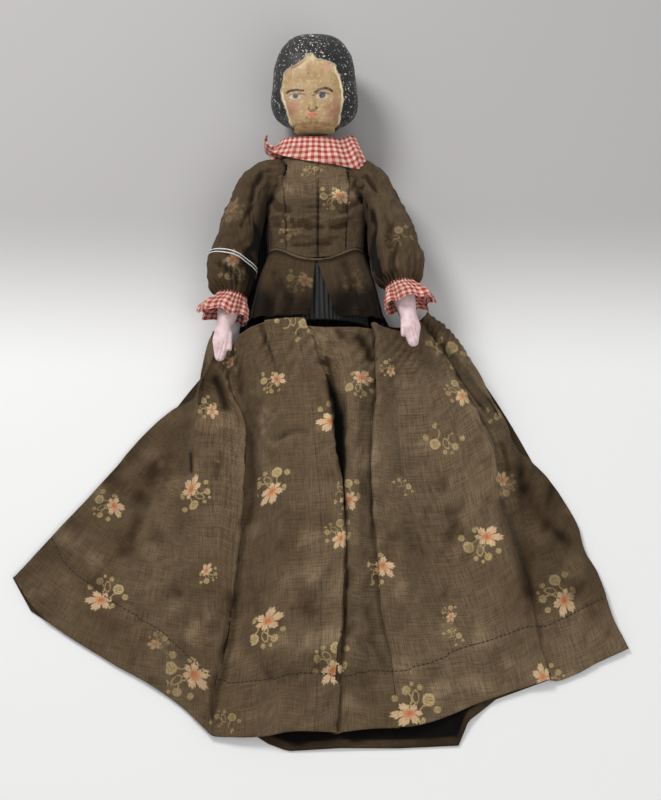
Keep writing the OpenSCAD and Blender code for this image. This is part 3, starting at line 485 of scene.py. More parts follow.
def sprig_of(net, base):
    """Base colour with a printed sprig: half a flower of notched petals, round buds, a looped stem."""
    place = net.layer("sprig")
    kind = net.node("SeparateXYZ", place, out=2)
    shake = net.node("TexNoise", Vector=place, Scale=1.3, Detail=2.0, out=1)
    shake = net.scaled(net.vector("SUBTRACT", shake, (0.5, 0.5, 0.5)), 0.9)
    flat = net.vector("MULTIPLY", net.vector("ADD", place, shake), (1, 1, 0))

    def disc(x, y, r, soft=0.3):
        return net.step(net.vector("DISTANCE", flat, (x, y, 0)), r - soft, r + soft, 1.0, 0.0)

    def ring(x, y, r, width, wide=1.0):
        at = net.vector("MULTIPLY", net.vector("SUBTRACT", flat, (x, y, 0)), (wide, 1, 0))
        off = net.math("ABSOLUTE", net.math("SUBTRACT", net.vector("LENGTH", at), r))
        return net.step(off, width * 0.4, width, 1.0, 0.0)

    def most(masks):
        top = masks[0]
        for m in masks[1:]:
            top = net.math("MAXIMUM", top, m)
        return top

    # Petals fan out from a heart that lies at the flower's side
    turned = net.vector("MULTIPLY", net.vector("SUBTRACT", flat, PETAL_HEART), (0.72, 1.0, 0))
    x = net.node("SeparateXYZ", turned, out=0)
    turn = net.math("ARCTAN2", x.node.outputs[1], x)
    petal_wave = net.math("ABSOLUTE", net.math("COSINE", net.times(turn, 3.0)))
    notch = net.math("ABSOLUTE", net.sine(turn, 12.0))
    lean = net.math("COSINE", net.plus(turn, -3.6))
    edge = net.plus(net.math("POWER", petal_wave, 0.5), net.plus(notch, 1.1, 0.75), 3.3)
    edge = net.times(edge, net.plus(lean, 1.05, 0.28))
    reach = net.math("DIVIDE", net.vector("LENGTH", turned), edge)
    with_flower = net.step(kind, 0.4, 0.6, 1.0, 0.0)
    flower = net.times(net.step(reach, 0.88, 1.04, 1.0, 0.0), with_flower)
    stems = net.times(most([ring(*s) for s in STEMS]), disc(0.8, 1.6, 6.1, 0.5))
    green = most([most([disc(*b) for b in BUDS]), most([disc(*b) for b in LEAVES]), stems])
    vein = net.noise(place, 1.4, 3.0, 0.65)
    bud_edge = net.math("MINIMUM", ring(6.2, 2.2, 2.2, 0.7), 1.0)
    bud_colour = net.tint(linear(146, 125, 82), (198, 174, 126), vein, 0.36, 0.62)
    bud_colour = net.blend(net.times(bud_edge, 0.4), bud_colour, linear(216, 194, 150))
    warm = net.plus(reach, net.times(net.math("ABSOLUTE", net.sine(turn, 9.0)), 0.22))
    petal = net.tint(linear(214, 120, 66), (224, 192, 152), warm, 0.22, 0.72)
    petal = net.tint(petal, (172, 116, 80), petal_wave, 0.18, 0.42, 0.5, 0.0)
    petal = net.tint(petal, (226, 150, 108), vein, 0.5, 0.75, 0.0, 0.4)
    worn = net.noise(net.place(), 1300.0, 3.0, 0.7)
    print_left = net.times(net.step(worn, 0.28, 0.5, 0.35, 0.92), net.layer("sprig", 3))
    first = net.blend(net.times(green, print_left), base, bud_colour)
    return net.blend(net.times(flower, print_left), first, petal)


def dress_cotton():
    net = Net("print_cotton")
    where = net.place()
    weave, slubs = weave_of(net), streaks_of(net)
    large = net.noise(where, 17.0, 4.0, 0.6)
    stain = net.noise(where, 55.0, 6.0, 0.65)
    crumple = net.node("TexNoise", Vector=where, Scale=60.0, Detail=5.0, Roughness=0.5,
                       noise_type="RIDGED_MULTIFRACTAL", normalize=True)
    base = net.tint(linear(131, 110, 84), (161, 139, 110), large, 0.36, 0.64)
    base = net.tint(base, (72, 53, 37), stain, 0.50, 0.74, 0.0, 0.6)
    base = net.tint(base, (52, 40, 28), slubs, 0.34, 0.60, 0.62, 0.0)
    base = net.tint(base, (146, 126, 96), slubs, 0.54, 0.72, 0.0, 0.35)
    # Painted shade in the crumples' valleys and a painted highlight on their ridges
    base = net.tint(base, (56, 42, 29), crumple, 0.05, 0.4, 0.42, 0.0)
    base = net.tint(base, (150, 130, 100), crumple, 0.5, 0.85, 0.0, 0.22)
    # Painted shade in the weave's low places between the threads
    base = net.tint(base, (46, 35, 24), weave, 0.2, 0.85, 0.36, 0.0)
    printed = net.tint(sprig_of(net, base), (62, 48, 34), slubs, 0.36, 0.56, 0.22, 0.0)
    lint = net.noise(where, 2600.0, 1.0, 0.5)
    printed = net.tint(printed, (178, 165, 138), lint, 0.70, 0.78, 0.0, 0.4)
    # The stored shade is above zero where cloth gets painted shade and where it is soiled, and below it
    # where an edge is worn pale and where a painted highlight lies
    shade = net.layer("shade", 2)
    printed = net.tint(printed, (49, 36, 23), shade, 0.0, 0.75, 0.0, 0.85)
    printed = net.tint(printed, (14, 11, 9), shade, 0.6, 1.0)
    printed = net.tint(printed, (150, 128, 98), shade, -1.0, 0.0, 0.7, 0.0)
    height = net.plus(crumple, net.plus(net.times(weave, 0.5), net.times(slubs, 1.1)), 2.6)
    return net.finish(printed, net.step(slubs, 0.3, 0.7, 0.95, 0.85), height, 0.2, Sheen_Weight=0.03,
                      Sheen_Roughness=0.5, Specular_IOR_Level=0.06)


def lining():
    """The cotton's unprinted side."""
    net = Net("lining")
    weave, slubs = weave_of(net), streaks_of(net)
    base = net.tint(linear(62, 49, 37), (84, 69, 52), net.noise(net.place(), 40.0, 5.0, 0.6), 0.35, 0.7)
    base = net.tint(base, (34, 27, 20), slubs, 0.34, 0.6, 0.6, 0.0)
    # Painted shade from the stored shade, down to near-black
    base = net.tint(base, (16, 13, 12), net.layer("shade", 2), 0.0, 0.9)
    return net.finish(base, 0.9, net.plus(weave, slubs), 0.15, Specular_IOR_Level=0.06)


def gingham():
    net = Net("gingham")
    uv = net.layer("weave")
    drift = net.vector("MULTIPLY", net.node("TexNoise", Vector=uv, Scale=0.5, out=1), (0.5, 0.5, 0))
    u = net.node("SeparateXYZ", net.vector("ADD", uv, drift), out=0)
    across, down = [net.step(net.sine(s, 2 * math.pi / CHECK), -0.25, 0.25) for s in (u, u.node.outputs[1])]
    both = net.times(net.plus(across, down), 0.5)
    weave = weave_of(net, GINGHAM_PITCH)
    tinted = net.plus(net.step(weave, 0.25, 0.8), net.plus(both, 0.08), -0.16)
    colour = net.tint(linear(226, 204, 184), (196, 92, 88), tinted, 0.1, 0.55, 0.0, 0.8)
    colour = net.tint(colour, (166, 44, 50), tinted, 0.55, 0.92)
    dirt_and_painted_shade = net.noise(net.place(), 160.0, 5.0, 0.65)
    colour = net.tint(colour, (140, 96, 70), dirt_and_painted_shade, 0.45, 0.75, 0.0, 0.5)
    return net.finish(colour, 0.88, weave, 0.12, Sheen_Weight=0.1, Specular_IOR_Level=0.2)


def head_paint():
    """Face colours and hair mask are stored in the mesh; the shader adds the paint's wear."""
    net = Net("head_paint")
    paint, hair, where = net.layer("paint", 0), net.layer("paint", 3), net.place()
    grain = net.noise(where, 420.0, 6.0, 0.7)
    fine = net.noise(where, 1700.0, 3.0, 0.6)
    chips = net.noise(where, 760.0, 3.0, 0.6)
    face = net.tint(paint, (208, 186, 145), grain, 0.42, 0.72, 0.0, 0.35)
    face = net.tint(face, (120, 92, 60), fine, 0.62, 0.74, 0.0, 0.5)
    black = net.tint(paint, (38, 39, 42), grain, 0.4, 0.75)
    patch = net.step(net.noise(where, 80.0, 3.0, 0.6), 0.36, 0.60, 0.15, 1.0)
    speck = net.step(net.plus(patch, chips, 0.06), 0.655, 0.685)
    black = net.blend(speck, black, linear(222, 216, 204))
    rough = net.plus(hair, net.step(grain, 0.3, 0.7, 0.5, 0.7), -0.12)
    height = net.plus(net.times(grain, 0.6), net.times(fine, 0.25))
    height = net.math("SUBTRACT", height, net.times(net.times(speck, hair), 0.4))
    return net.finish(net.blend(hair, face, black), rough, height, 0.22, Specular_IOR_Level=0.3)


def worn_paint(name, light, dark, chip):
    net = Net(name)
    where = net.place()
    grain = net.noise(where, 900.0, 5.0, 0.65, (1.0, 0.18, 1.0))
    blotch = net.noise(where, 190.0, 5.0, 0.65)
    fine = net.noise(where, 1500.0, 3.0, 0.6)
    colour = net.tint(linear(*light), dark, blotch, 0.4, 0.68)
    colour = net.tint(colour, dark, grain, 0.55, 0.8, 0.0, 0.4)
    colour = net.tint(colour, chip, fine, 0.64, 0.72, 0.0, 0.7)
    height = net.plus(net.times(grain, 0.5), net.times(fine, 0.5))
    return net.finish(colour, net.step(blotch, 0.3, 0.7, 0.45, 0.7), height, 0.18)


def leg_paint():
    """Cream paint with a dark slipper painted below the ankle, worked out from the leg's own y."""
    net = Net("leg_paint")
    where = net.place()
    edge = net.plus(net.node("SeparateXYZ", where, out=1), net.times(net.noise(where, 120.0, 3.0), 0.003))
    shoe = net.step(edge, (SLIPPER_Y - 0.5) * MM, (SLIPPER_Y + 0.5) * MM, 1.0, 0.0)
    grain = net.noise(where, 800.0, 5.0, 0.65, (1.0, 0.15, 1.0))
    fine = net.noise(where, 1400.0, 3.0, 0.6)
    cream = net.tint(linear(214, 198, 172), (188, 166, 134), grain, 0.4, 0.7)
    black = net.tint(linear(38, 34, 36), (70, 62, 60), grain, 0.4, 0.7)
    colour = net.tint(net.blend(shoe, cream, black), (196, 168, 128), fine, 0.66, 0.74, 0.0, 0.8)
    return net.finish(colour, net.step(grain, 0.3, 0.7, 0.42, 0.62), grain, 0.15)


def bare_wood():
    net = Net("bare_wood")
    where = net.place()
    rings = net.noise(where, 700.0, 6.0, 0.6, (1.0, 0.07, 1.0))
    wide = net.noise(where, 160.0, 3.0, 0.5, (1.0, 0.1, 1.0))
    pores = net.noise(where, 3200.0, 2.0, 0.5, (1.0, 0.05, 1.0))
    colour = net.tint(linear(206, 174, 128), (168, 130, 84), rings, 0.35, 0.7)
    colour = net.tint(colour, (150, 112, 70), wide, 0.45, 0.7, 0.0, 0.5)
    colour = net.tint(colour, (106, 74, 44), pores, 0.6, 0.7, 0.0, 0.6)
    return net.finish(colour, net.step(rings, 0.3, 0.7, 0.55, 0.7), rings, 0.12)


def black_silk():
    net = Net("black_silk")
    streak = net.noise(net.layer("weave"), 1.0, 4.0, 0.6, (3.0, 0.12, 1))
    colour = net.tint(linear(12, 11, 10), (27, 25, 23), streak, 0.4, 0.7)
    rough = net.step(streak, 0.3, 0.7, 0.46, 0.6)
    return net.finish(colour, rough, weave_of(net, SILK_PITCH), 0.05, Sheen_Weight=0.08,
                      Sheen_Roughness=0.35, Specular_IOR_Level=0.36)


def thread(name, colour, dark):
    net = Net(name)
    where = net.place()
    ply = net.noise(where, 2600.0, 2.0, 0.6)
    mixed = net.tint(linear(*colour), dark, ply, 0.35, 0.65)
    mixed = net.tint(mixed, dark, net.noise(where, 240.0, 3.0, 0.6), 0.5, 0.8, 0.0, 0.4)
    return net.finish(mixed, 0.85, ply, 0.1)


COTTON, LINING, GINGHAM, HEAD = dress_cotton(), lining(), gingham(), head_paint()
HAND = worn_paint("hand_paint", (222, 198, 200), (196, 164, 164), (150, 118, 104))
NECK = worn_paint("neck_paint", (196, 168, 124), (160, 128, 88), (222, 200, 160))
LEG, WOOD, SILK = leg_paint(), bare_wood(), black_silk()
STRING = thread("string", (238, 238, 234), (190, 190, 186))
DARK_THREAD = thread("dark_thread", (44, 34, 26), (22, 17, 13))

# The doll's driving sizes, as in the CAD source

HIP_Y, WAIST_Y, SHOULDER_Y, CHIN_Y = 5.0, 62.0, 103.0, 126.0
HEAD_H, HEAD_D, HEAD_X, HAIR_T = 62.0, 44.0, -1.0, 1.8
TORSO_Z, SKIRT_Y, ARM_X = 18.5, 20.0, 28.8
CLOTH_T, CLOTH_GAP = 0.9, 0.35
ARM_SPLAY, ARM_LIFT = math.radians(12), math.radians(9)
UPPER_ARM_L, FOREARM_L = 48.0, 54.0
SLEEVE_R, WRIST_R = 13.5, 7.8
SLEEVE_L = UPPER_ARM_L + FOREARM_L * 0.35
CUFF_R = 13.0
PEPLUM_L, PEPLUM_FLARE, WAIST_DIP, SPLIT_W = 41.0, 6.5, 9.0, 11.0
NECKLINE_Y = 119.1
ARMHOLE_DROP = 1.9
ARMHOLE_Y = SHOULDER_Y - ARMHOLE_DROP
BODY_ROUND = 0.85
# Each row: y, half width, half depth at the front and the back, height of the middle
STATIONS = np.array([
    [14.0, 23.5, 11.04, 10.56, 16.1],
    [27.8, 23.5, 12.0, 12.0, 18.5],
    [44.9, 22.9, 12.0, 12.0, 18.5],
    [62.0, 22.0, 11.5, 11.5, 18.5],
    [78.4, 23.2, 13.23, 11.5, 18.5],
    [90.7, 24.0, 13.5, 12.96, 18.5],
    [103.0, 24.0, 12.96, 12.96, 18.5],
    [110.5, 21.12, 10.8, 11.34, 18.5],
    [116.8, 12.35, 9.5, 9.5, 19.5],
    [126.0, 9.5, 9.5, 9.5, 20.0],
])


def station(y, i):
    """Column i of the table at y, with its corners rounded off."""
    below, here, above = [np.interp(y + step, STATIONS[:, 0], STATIONS[:, i]) for step in (-4, 0, 4)]
    return (below + 2 * here + above) / 4


def body_point(y, q, off, side_off=0.0):
    """A point off the torso at height y and angle q in degrees, 90 being the front."""
    y, q, off, side_off = np.broadcast_arrays(*[np.asarray(v, float) for v in (y, q, off, side_off)])
    c, s = np.cos(np.radians(q)), np.sin(np.radians(q))
    b = np.where(s > 0, station(y, 2), station(y, 3))
    x = (station(y, 1) + off + side_off) * spow(c, BODY_ROUND)
    return np.stack([x, y, station(y, 4) + (b + off) * spow(s, BODY_ROUND)], -1)


def arm_turns(side):
    lift = ARM_LIFT if side > 0 else 0.0
    return math.cos(ARM_SPLAY), math.sin(ARM_SPLAY), math.cos(lift), math.sin(lift)


def arm_place(side, x, y, z):
    """A point of an arm drawn along -Y from its shoulder peg, put on the doll."""
    c, s, cl, sl = arm_turns(side)
    x1, y1 = c * x - side * s * y, side * s * x + c * y
    return np.stack([side * ARM_X + x1, SHOULDER_Y + cl * y1 + sl * z, TORSO_Z - sl * y1 + cl * z], -1)


def arm_local(side, p):
    """The inverse of arm_place."""
    c, s, cl, sl = arm_turns(side)
    x1, dy, dz = p[:, 0] - side * ARM_X, p[:, 1] - SHOULDER_Y, p[:, 2] - TORSO_Z
    y1, z = cl * dy - sl * dz, sl * dy + cl * dz
    return np.stack([c * x1 + side * s * y1, -side * s * x1 + c * y1, z], -1)


# Printed sprigs. Each is a photo pixel, a turn in degrees, a size, and a kind whose fraction is its fading.
# Kind 0 has a flower, whose heart is at the pixel. Kind 1 has buds alone, the largest at the pixel. A mesh
# stores the local place in mm, the kind and the strength of the ink.

NO_SPRIG = (60.0, 60.0, 0.0, 0.0)
MOTIF_R = 13.0
FLOWER_AT = (-5.0, -4.2)
BUD_AT = BUDS[0][:2]
ON_CLOTH = 1.5
SAME_LAYER, SAME_HEIGHT = 0.8, 9
SCATTER_PITCH, SCATTER_SHARE, SCATTER_SHIFT, SCATTER_INK = 34.0, 0.8, 8, 0.85


def sprig_layer(grid, places):
    """Local place in the nearest sprig for each point of a cloth grid, or a far place."""
    out = np.tile(np.array(NO_SPRIG), grid.shape[:2] + (1,))
    near = np.full(grid.shape[:2], FAR)
    cloth_u = lengths_along(grid, 1)
    for px, py, turn, size, kind in places:
        spot = from_photo(px, py, grid[..., 2])
        off = np.hypot(grid[..., 0] - spot[..., 0], grid[..., 1] - spot[..., 1])
        if off.min() > ON_CLOTH:
            continue
        close = np.where(off < off.min() + SAME_LAYER, grid[..., 2], -FAR)
        i, j = np.unravel_index(np.argmax(close), close.shape)
        dx, dy = (grid[..., :2] - grid[i, j, :2]).transpose(2, 0, 1)
        c, s = math.cos(math.radians(turn)), math.sin(math.radians(turn))
        anchor = FLOWER_AT if kind < 1 else BUD_AT
        local = np.stack([(dx * c + dy * s) / size + anchor[0], (dy * c - dx * s) / size + anchor[1]], -1)
        far = np.linalg.norm(local, axis=-1)
        same_fold = np.abs(cloth_u - cloth_u[:, j:j + 1]) < 1.5 * MOTIF_R * size
        same_level = np.abs(grid[..., 2] - grid[i, j, 2]) < SAME_HEIGHT
        take = (far < MOTIF_R + 3) & (far < near) & same_fold & same_level
        ink = (1 - kind % 1) * smooth(MOTIF_R - far[take])
        out[take] = np.stack([*local[take].T, np.full(take.sum(), kind // 1), ink], 1)
        near[take] = far[take]
    return out


def sprig_scatter(u, v, seed):
    """Sprigs of the same print at random turns, for cloth that the photograph doesn't show."""
    pitch = SCATTER_PITCH
    row = np.floor(v / pitch)
    shifted = u + (row % 2) * pitch / 2
    col = np.floor(shifted / pitch)
    draws = np.random.default_rng(seed).uniform(0, 1, (4, 64, 64))
    across, down, turn, chance = draws[:, row.astype(int) % 64, col.astype(int) % 64]
    x = (shifted / pitch - col - 0.5) * pitch + (across - 0.5) * SCATTER_SHIFT
    y = (v / pitch - row - 0.5) * pitch + (down - 0.5) * SCATTER_SHIFT
    a = 2 * math.pi * turn
    ink = SCATTER_INK * smooth(MOTIF_R - np.hypot(x, y)) * (chance < SCATTER_SHARE)
    return np.stack([x * np.cos(a) + y * np.sin(a), y * np.cos(a) - x * np.sin(a), 0 * x, ink], -1)


# Skirt front: lines from the hips to the hem, as photo pixels with a height in mm

WING_RIGHT_PX = [
    [(213, 331, 10), (202, 360, 6), (197, 385, 4), (194, 396, 3), (172, 410, 2.2), (143, 436, 2),
     (115, 468, 2), (89, 497, 2), (57, 531, 2), (14, 578, 1.5)],
    [(214, 331, 12), (203, 361, 8), (198, 387, 5), (195, 400, 4), (180, 424, 4), (157, 452, 4.5),
     (131, 484, 4.8), (105, 515, 4.6), (76, 552, 4), (37, 612, 1.8)],
    [(215, 332, 13), (204, 362, 9), (199, 390, 6), (195, 405, 4.5), (184, 436, 3.6), (168, 475, 3),
     (151, 520, 3), (136, 562, 4), (121, 608, 3.8), (106, 660, 1.6)],
    [(216, 332, 14), (205, 364, 10), (200, 393, 7), (195, 412, 5), (187, 446, 3.8), (179, 490, 3.6),
     (172, 540, 5), (165, 595, 5), (158, 645, 4), (152, 686, 1.8)],
    [(217, 333, 15), (206, 365, 11), (200, 396, 8), (195, 420, 6), (188, 458, 4.5), (187, 500, 4),
     (186, 550, 4), (186, 610, 4), (185, 665, 3), (184, 709, 1.6)],
]
RIDGE_RIGHT_PX = [
    [(219, 334, 16), (208, 366, 15), (200, 392, 14.5), (197, 420, 14), (193, 452, 11), (196, 500, 8),
     (200, 550, 7), (202, 610, 6.4), (203, 665, 5), (203, 727, 2.2)],
    [(222, 336, 17), (216, 366, 13), (214, 388, 9), (218, 410, 11), (216, 450, 13), (218, 500, 11),
     (219, 550, 9), (219, 610, 8), (215, 665, 6), (208, 732, 2.6)],
    [(227, 345, 18), (225, 372, 14), (231, 396, 13), (240, 412, 15), (246, 443, 15.5), (244, 480, 14.5),
     (242, 510, 13), (237, 545, 11.6), (233, 585, 10), (229, 630, 9), (222, 660, 8), (213, 690, 6),
     (210, 734, 3)],
    [(230, 346, 17), (228, 373, 12), (234, 398, 10), (241, 413, 10.5), (247, 444, 10.5), (245.5, 480, 9.5),
     (243.5, 510, 8.5), (238.5, 545, 7.2), (235, 585, 6), (231, 630, 5), (224, 660, 4), (214, 690, 3.4),
     (212, 735.5, 2.4)],
]
PANEL_RIGHT_PX = [
    [(235, 342, 20), (238, 372, 17), (243, 400, 11), (250, 430, 10), (253, 460, 9.5), (252, 500, 8.6),
     (248, 545, 7.6), (243, 590, 6), (238, 640, 4.6), (231, 668, 3.6), (222, 700, 3.2), (215, 736.5, 2.4)],
    [(243, 332, 24), (248, 362, 21), (254, 400, 17.5), (260, 440, 16), (263, 480, 15), (263, 520, 14),
     (261, 570, 12.6), (258, 620, 11), (254, 670, 8), (249, 737.5, 3.6)],
    [(256, 325, 29), (262, 345, 27), (267, 367, 25), (269, 395, 23.5), (272, 440, 22), (275, 490, 21),
     (276, 540, 20), (275, 600, 19), (272, 655, 13), (268, 736, 4.6)],
    [(264, 322, 29.5), (268.5, 344, 26.6), (275, 367, 24.6), (274, 395, 24.2), (278, 440, 23.4),
     (282, 490, 22.6), (283, 540, 22), (283, 600, 21), (281, 652, 15), (277, 734, 5.6)],
    [(266, 320, 33), (271, 344, 30), (278, 367, 27.4), (279, 395, 25.6), (285, 440, 24.4), (289, 490, 23.6),
     (291, 540, 23), (291, 600, 22.2), (290, 650, 17), (287, 732, 6.6)],
    [(284, 318, 34), (290, 345, 31), (296, 380, 27.8), (300, 430, 25.6), (304, 480, 25), (306, 540, 24.6),
     (306, 600, 24), (305, 645, 20), (302, 690, 13), (300, 731, 6.4)],
    [(303, 317, 34), (312, 342, 31.6), (320, 367, 29.6), (328.5, 390, 28.6), (332.5, 410, 28.4),
     (334.5, 448, 28), (341, 479, 27), (343, 511, 26.2), (344, 560, 25), (342.5, 625, 22.6), (340, 669, 16),
     (337, 733, 5.4)],
    [(304, 317.2, 33), (313, 342, 30.4), (321, 367, 28.2), (330, 390, 27), (334, 410, 26.6),
     (336, 448, 26.2), (342.5, 479, 25.4), (344.5, 511, 24.6), (346, 560, 23.4), (344, 625, 21),
     (341.5, 669, 14.6), (338.5, 734, 4.2)],
]
GAP_PX = [
    [(300, 322, 31), (308, 345, 27.6), (316, 370, 25.2), (322, 395, 23.4), (326, 420, 22.4),
     (330, 450, 22.2), (336, 480, 22.8), (339, 512, 23), (340, 560, 22), (339, 625, 19.6), (336, 669, 13),
     (333, 734, 3)],
    [(310, 326, 32), (319, 345, 28), (327, 370, 24), (333, 395, 21.6), (337, 420, 21.2), (339, 448, 21.4),
     (342, 479, 22.8), (344, 511, 23.2), (345.5, 560, 22.2), (343.6, 625, 19.8), (341, 669, 13.4),
     (338, 734, 3.2)],
    [(326, 327, 33), (332, 345, 29.6), (339, 372, 25), (342, 395, 22.6), (343, 420, 21.6), (342.5, 448, 22),
     (343.5, 478, 23.4), (345, 511, 24), (347, 560, 22.8), (345, 625, 20.2), (342.4, 669, 14),
     (340, 733, 3.6)],
    [(334, 327, 33.4), (343, 345, 31), (350, 372, 28.4), (349, 398, 27), (347.4, 422, 26.4),
     (345.4, 447, 25.8), (345.4, 475, 25.2), (347.4, 508, 24.6), (349.4, 557, 23.2), (348, 622, 20.6),
     (346, 666, 14.6), (344, 732, 4.4)],
    [(352, 327, 34), (357, 347, 31.4), (359, 375, 28.6), (357.6, 400, 27.2), (356, 425, 26.4),
     (355, 455, 25.6), (355, 485, 24.8), (356, 520, 23.8), (357, 562, 22), (358, 612, 19), (361, 655, 13.6),
     (365, 691, 8), (368, 729, 4.6)],
    [(366, 328, 31), (368, 350, 27.6), (368, 378, 24.6), (366.6, 405, 23), (365, 430, 22), (364, 457, 21.2),
     (364, 485, 20.4), (366, 523, 19), (369, 560, 17), (373, 606, 14), (379, 645, 10.6), (385, 680, 7),
     (390, 728, 3.8)],
    [(373, 329, 29), (377, 350, 25), (378, 378, 22), (377, 405, 20), (375.6, 430, 19), (374, 457, 18.2),
     (373.4, 485, 17.4), (375.4, 524, 16), (378.6, 557, 14.4), (381.6, 600, 12), (387, 638, 9),
     (393, 668, 6.4), (399, 728, 3.6)],
]
PANEL_LEFT_PX = [
    [(371, 323, 33), (376.6, 339, 31), (377, 367, 28.6), (377.4, 396, 27), (374.4, 425, 26),
     (372.4, 453, 25), (371.6, 482, 24), (373.6, 525, 22), (377, 554, 20.2), (380, 597, 17), (386, 634, 13),
     (392, 665, 8), (400, 727, 3.8)],
    [(374, 322, 34), (379, 339, 32.6), (380, 367, 30.6), (380.4, 396, 29), (377.6, 425, 28),
     (375.4, 453, 27), (374.8, 482, 26), (377, 525, 24), (380.6, 554, 22), (384, 597, 18.4), (390, 634, 14),
     (396, 665, 8.6), (405, 727, 4.2)],
    [(380, 325, 34), (385, 350, 32.4), (387, 380, 30.6), (386, 420, 28.6), (385, 460, 27), (387, 500, 25),
     (393, 540, 22.4), (402, 590, 18), (413, 640, 12.4), (423, 680, 7.6), (431, 722, 3)],
    [(388, 328, 33), (393, 365, 30.6), (396, 405, 27.6), (402, 474, 23), (410, 505, 20.6), (419, 531, 18.4),
     (433, 583, 14), (448, 614, 11), (465, 654, 7.6), (479, 703, 2.6)],
    [(400, 331, 27), (412, 360, 26), (421, 388, 25), (430, 430, 20.4), (437, 475, 17), (446, 520, 14),
     (458, 560, 11.4), (471, 600, 8.6), (484, 645, 6), (496, 697, 2.6)],
    [(408, 328, 24), (423, 358, 23), (438, 392, 22.4), (452, 423, 19.6), (460, 460, 16), (468, 500, 13),
     (479, 545, 10.4), (492, 590, 8), (506, 640, 5.2), (517, 690, 2.2)],
    [(415, 323, 20), (434, 354, 19), (453, 388, 18), (470, 422, 16.6), (484, 458, 14.6), (488, 495, 13),
     (495, 519, 11.6), (508, 558, 9.6), (519, 599, 8), (528, 636, 6.2), (539, 683, 2.8)],
    [(418, 321, 18), (440, 352, 17), (462, 386, 16), (480, 418, 15.4), (495, 455, 14.6), (498.4, 493, 13.6),
     (505, 516, 12.2), (517, 556, 10), (528, 597, 8.4), (535, 623, 7), (540, 649, 6), (548, 680, 3)],
    [(419.4, 321, 16), (441.6, 352, 13.4), (463.8, 386, 11.6), (481.8, 418, 10.4), (496.6, 455, 9.6),
     (500, 493, 8.6), (506.6, 516, 7.6), (518.6, 556, 5.8), (529.6, 597, 4.8), (536.6, 623, 4),
     (541.6, 649, 3.4), (549.6, 680.6, 2)],
]
WING_LEFT_PX = [
    [(420.4, 320, 14), (445, 357, 11), (468, 392, 8), (488, 425, 6), (502, 460, 5), (506, 493, 4),
     (512, 517, 3.4), (525, 557, 3), (536, 597, 3), (543, 625, 3), (548, 652, 2.6), (556, 681.4, 1.6)],
    [(422.4, 318, 16), (449, 354, 13), (473, 388, 11), (494, 420, 9), (509, 452, 7.6), (517, 485, 6),
     (527, 520, 5), (541, 565, 4.6), (556, 610, 4), (577, 674, 1.6)],
    [(425, 316, 17), (451, 346, 17), (474, 378, 16), (492, 404, 14), (507, 433, 9), (521, 464, 6.6),
     (541, 505, 5.4), (561, 550, 4.8), (579, 600, 4), (599, 662, 1.6)],
    [(427, 312, 14), (453.5, 336, 14), (470.6, 359, 13), (485, 382, 12), (495, 402, 10), (507, 424, 5),
     (513, 441, 3), (530, 460, 2.2), (550, 480, 2), (567, 506, 2), (579, 529, 2), (584, 551, 2),
     (595, 568, 2), (603, 588, 2), (611, 614, 2), (628.6, 648.7, 1.4)],
]
RIGHT_LINES = WING_RIGHT_PX + RIDGE_RIGHT_PX + PANEL_RIGHT_PX
LEFT_LINES = GAP_PX + PANEL_LEFT_PX + WING_LEFT_PX
# The gap's first line folds under the right panel's edge, so the cloth is one piece
SKIRT_ROWS = 190
COLUMN_STEP = 0.95
LEAST_KNOT = 1.6
HEM_BAND = 27.0
SPLIT_PAST = 5.4
TOE_X, TOE_Y, TOE_TOP = 12.0, -144.0, 24.5


def skirt_sheet():
    """Grid of the whole skirt front, and its columns' line numbers."""
    lines = np.array([along(from_photo_line(line), SKIRT_ROWS) for line in RIGHT_LINES + LEFT_LINES])
    knots = knots_of(steps_of(lines)[:, SKIRT_ROWS // 3:].mean(1), LEAST_KNOT)
    at = np.linspace(0, knots[-1], int(knots[-1] / COLUMN_STEP))
    grid = glide(knots, lines, at).transpose(1, 0, 2)
    return grid, np.interp(at, knots, np.arange(len(knots)))


skirt, line_number = skirt_sheet()
split_line = len(WING_RIGHT_PX + RIDGE_RIGHT_PX) + SPLIT_PAST
split_column = int(np.argmin(np.abs(line_number - split_line)))
# The cloth rises over the toes
for side in (-1, 1):
    from_toe = np.hypot((skirt[..., 0] - side * TOE_X) / 8.5, (skirt[..., 1] - TOE_Y) / 10)
    skirt[..., 2] = np.maximum(skirt[..., 2], TOE_TOP - 4.5 * from_toe**2) * 0.7 + skirt[..., 2] * 0.3
skirt_u, skirt_v = cloth_uv(skirt)
from_hem = skirt_v[-1:] - skirt_v
skirt_px, skirt_py = to_photo(skirt)

